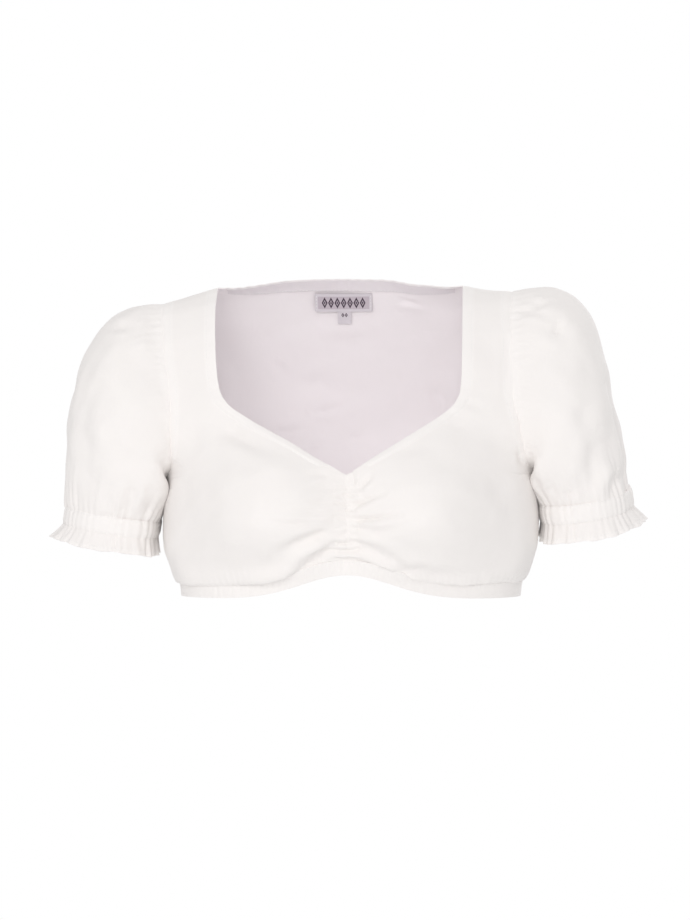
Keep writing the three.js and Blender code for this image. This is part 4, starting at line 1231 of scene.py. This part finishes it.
for hand, arm in ARMS.items():
    side = arm["side"]
    flip = side < 0
    place = cuff_frame(arm)
    grid, down = sleeve_grid(arm, 71 + side)
    tone = ease(9, 5, down) * 0.6
    # The sleeve's inside takes 0.8 of the painted inner colour.
    cloth(f"sleeve_{hand}", grid, closed=True, flip=flip, seam=tone, inner=0.8)
    # The elastic casing, drawn in along both of its seams
    around = np.arange(RUFFLE_COLUMNS)[None, :] / RUFFLE_COLUMNS
    turn = 2 * math.pi * around
    v = np.linspace(0, 1, BAND_ROWS)[:, None]
    pinch = 1 - 0.75 * bell(v, 0.14) - 0.75 * bell(1 - v, 0.14)
    wave = cuff_waves(turn, side, 0.75) * (1 - 0.35 * np.sin(math.pi * v))
    below = -0.4 + v * (CUFF["band"] + 2 * CUFF["seam"] + 0.8)
    band = cuff_point(place, around, below, wave + 1.3 * pinch - 0.6)
    cloth(f"cuff_casing_{hand}", band, thickness=CASING_THICKNESS, closed=True, flip=flip,
          seam=np.full(band.shape[:2], 0.7))
    seam_rows = (1, BAND_ROWS - 2)
    lines = [grid_line(band, row=r, closed=True, flip=flip, lift=CASING_STITCH_LIFT) for r in seam_rows]
    stitch_rows(f"cuff_{hand}_stitches", lines)
    # The ruffle
    v = np.linspace(0, 1, 22)[:, None]
    flare = RUFFLE["flare"] * (1 - 0.5 * near_body(around))
    flare = flare + RUFFLE["outer_flare"] * np.maximum(np.cos(turn), 0) ** 2
    below = 2 * CUFF["seam"] + CUFF["band"] - 0.3 + v * np.sqrt(RUFFLE["length"] ** 2 - flare**2)
    below = below + 0.5 * v * np.sin(5 * turn + 1) + 0.35 * v * np.sin(13 * turn)
    wave = cuff_waves(turn, side, 1) * mix(0.75, 1.5, v) * (1 - 0.5 * v)
    wave = wave + 1.7 * v**1.2 * flatter(around) ** 0.4 * ring_gathers(turn, CUFF_GATHERS // 2, 81 + side)
    skirt = cuff_point(place, around, below, wave - 0.4 + flare * v**1.25)
    tone = ease(0.72, 0.8, v) + 0 * around
    # The ruffle's inside takes 0.6 of the painted inner colour.
    cloth(f"cuff_ruffle_{hand}", skirt, closed=True, flip=flip, seam=tone, inner=0.6)
    stitch_rows(f"cuff_ruffle_{hand}_stitches", [grid_line(skirt, row=17, closed=True, flip=flip, lift=0.5)])

# Surroundings: white all round, a pale floor far below and soft light from the front

FLOOR_Z = -1.0
FLOOR_RADIUS = 3.0


def make_floor():
    material, nodes, links, shader = new_material("pale_floor")
    shader.inputs["Base Color"].default_value = (0.9, 0.9, 0.9, 1)
    shader.inputs["Roughness"].default_value = 0.9
    place = nodes.new("ShaderNodeTexCoord").outputs["Object"]
    away = nodes.new("ShaderNodeVectorMath")
    away.operation = "LENGTH"
    links.new(place, away.inputs[0])
    fade = nodes.new("ShaderNodeMapRange")
    fade.interpolation_type = "SMOOTHSTEP"
    fade.inputs["From Min"].default_value = 0.35
    fade.inputs["From Max"].default_value = FLOOR_RADIUS * 0.9
    links.new(away.outputs["Value"], fade.inputs["Value"])
    white = nodes.new("ShaderNodeEmission")
    white.inputs["Strength"].default_value = 1
    blend = nodes.new("ShaderNodeMixShader")
    links.new(fade.outputs[0], blend.inputs[0])
    links.new(shader.outputs[0], blend.inputs[1])
    links.new(white.outputs[0], blend.inputs[2])
    links.new(blend.outputs[0], nodes["Material Output"].inputs[0])
    turn = np.linspace(0, 2 * math.pi, 97)[:-1]
    rings = [0.4, 1.0, 2.0, FLOOR_RADIUS]
    points = [(0, 0, 0)] + [(r * math.cos(a), r * math.sin(a), 0) for r in rings for a in turn]
    n = len(turn)
    faces = [(0, 1 + i, 1 + (i + 1) % n) for i in range(n)]
    for k in range(len(rings) - 1):
        low, high = 1 + k * n, 1 + (k + 1) * n
        faces += [(low + i, high + i, high + (i + 1) % n, low + (i + 1) % n) for i in range(n)]
    mesh = bpy.data.meshes.new("floor")
    mesh.from_pydata(points, [], faces)
    mesh.materials.append(material)
    floor = bpy.data.objects.new("floor", mesh)
    floor.location = (0, 0, FLOOR_Z)
    bpy.context.scene.collection.objects.link(floor)


make_floor()

MIDDLE = (0, 0, -0.13)
AMBIENT = (-1, 1, 0.50, 0.80)  # from straight below to straight above, and the strength at each

world = bpy.data.worlds.new("studio")
bpy.context.scene.world = world
world.use_nodes = True
nodes, links = world.node_tree.nodes, world.node_tree.links
ambient = nodes["Background"]
ambient.inputs["Color"].default_value = (1, 0.995, 1, 1)
toward = nodes.new("ShaderNodeTexCoord").outputs["Generated"]
upward = nodes.new("ShaderNodeSeparateXYZ")
links.new(toward, upward.inputs[0])
level = nodes.new("ShaderNodeMapRange")
for socket, value in zip(level.inputs[1:5], AMBIENT):
    socket.default_value = value
links.new(upward.outputs[2], level.inputs["Value"])
links.new(level.outputs[0], ambient.inputs["Strength"])
backdrop = nodes.new("ShaderNodeBackground")
backdrop.inputs["Color"].default_value = (1, 1, 1, 1)
backdrop.inputs["Strength"].default_value = 1.0
rays = nodes.new("ShaderNodeLightPath")
choose = nodes.new("ShaderNodeMixShader")
links.new(rays.outputs["Is Camera Ray"], choose.inputs[0])
links.new(ambient.outputs[0], choose.inputs[1])
links.new(backdrop.outputs[0], choose.inputs[2])
links.new(choose.outputs[0], nodes["World Output"].inputs[0])


def area_light(name, place, size, power, colour=(1, 1, 1)):
    data = bpy.data.lights.new(name, "AREA")
    data.shape = "DISK"
    data.size = size
    data.energy = power
    data.color = colour
    light = bpy.data.objects.new(name, data)
    light.location = place
    light.visible_camera = False
    aim = [t - p for t, p in zip(MIDDLE, place)]
    across = math.hypot(aim[0], aim[1])
    light.rotation_euler = (math.atan2(across, -aim[2]), 0, math.atan2(-aim[0], aim[1]))
    bpy.context.scene.collection.objects.link(light)


area_light("key", place=(-0.35, -2.25, 0.35), size=1.5, power=17.5, colour=(1, 0.99, 0.985))
area_light("rear", place=(1.3, 1.8, 0.9), size=1.0, power=15)

scene = bpy.context.scene
scene.view_settings.view_transform = "Standard"
scene.view_settings.look = "None"
scene.view_settings.exposure = 0
scene.view_settings.gamma = 1
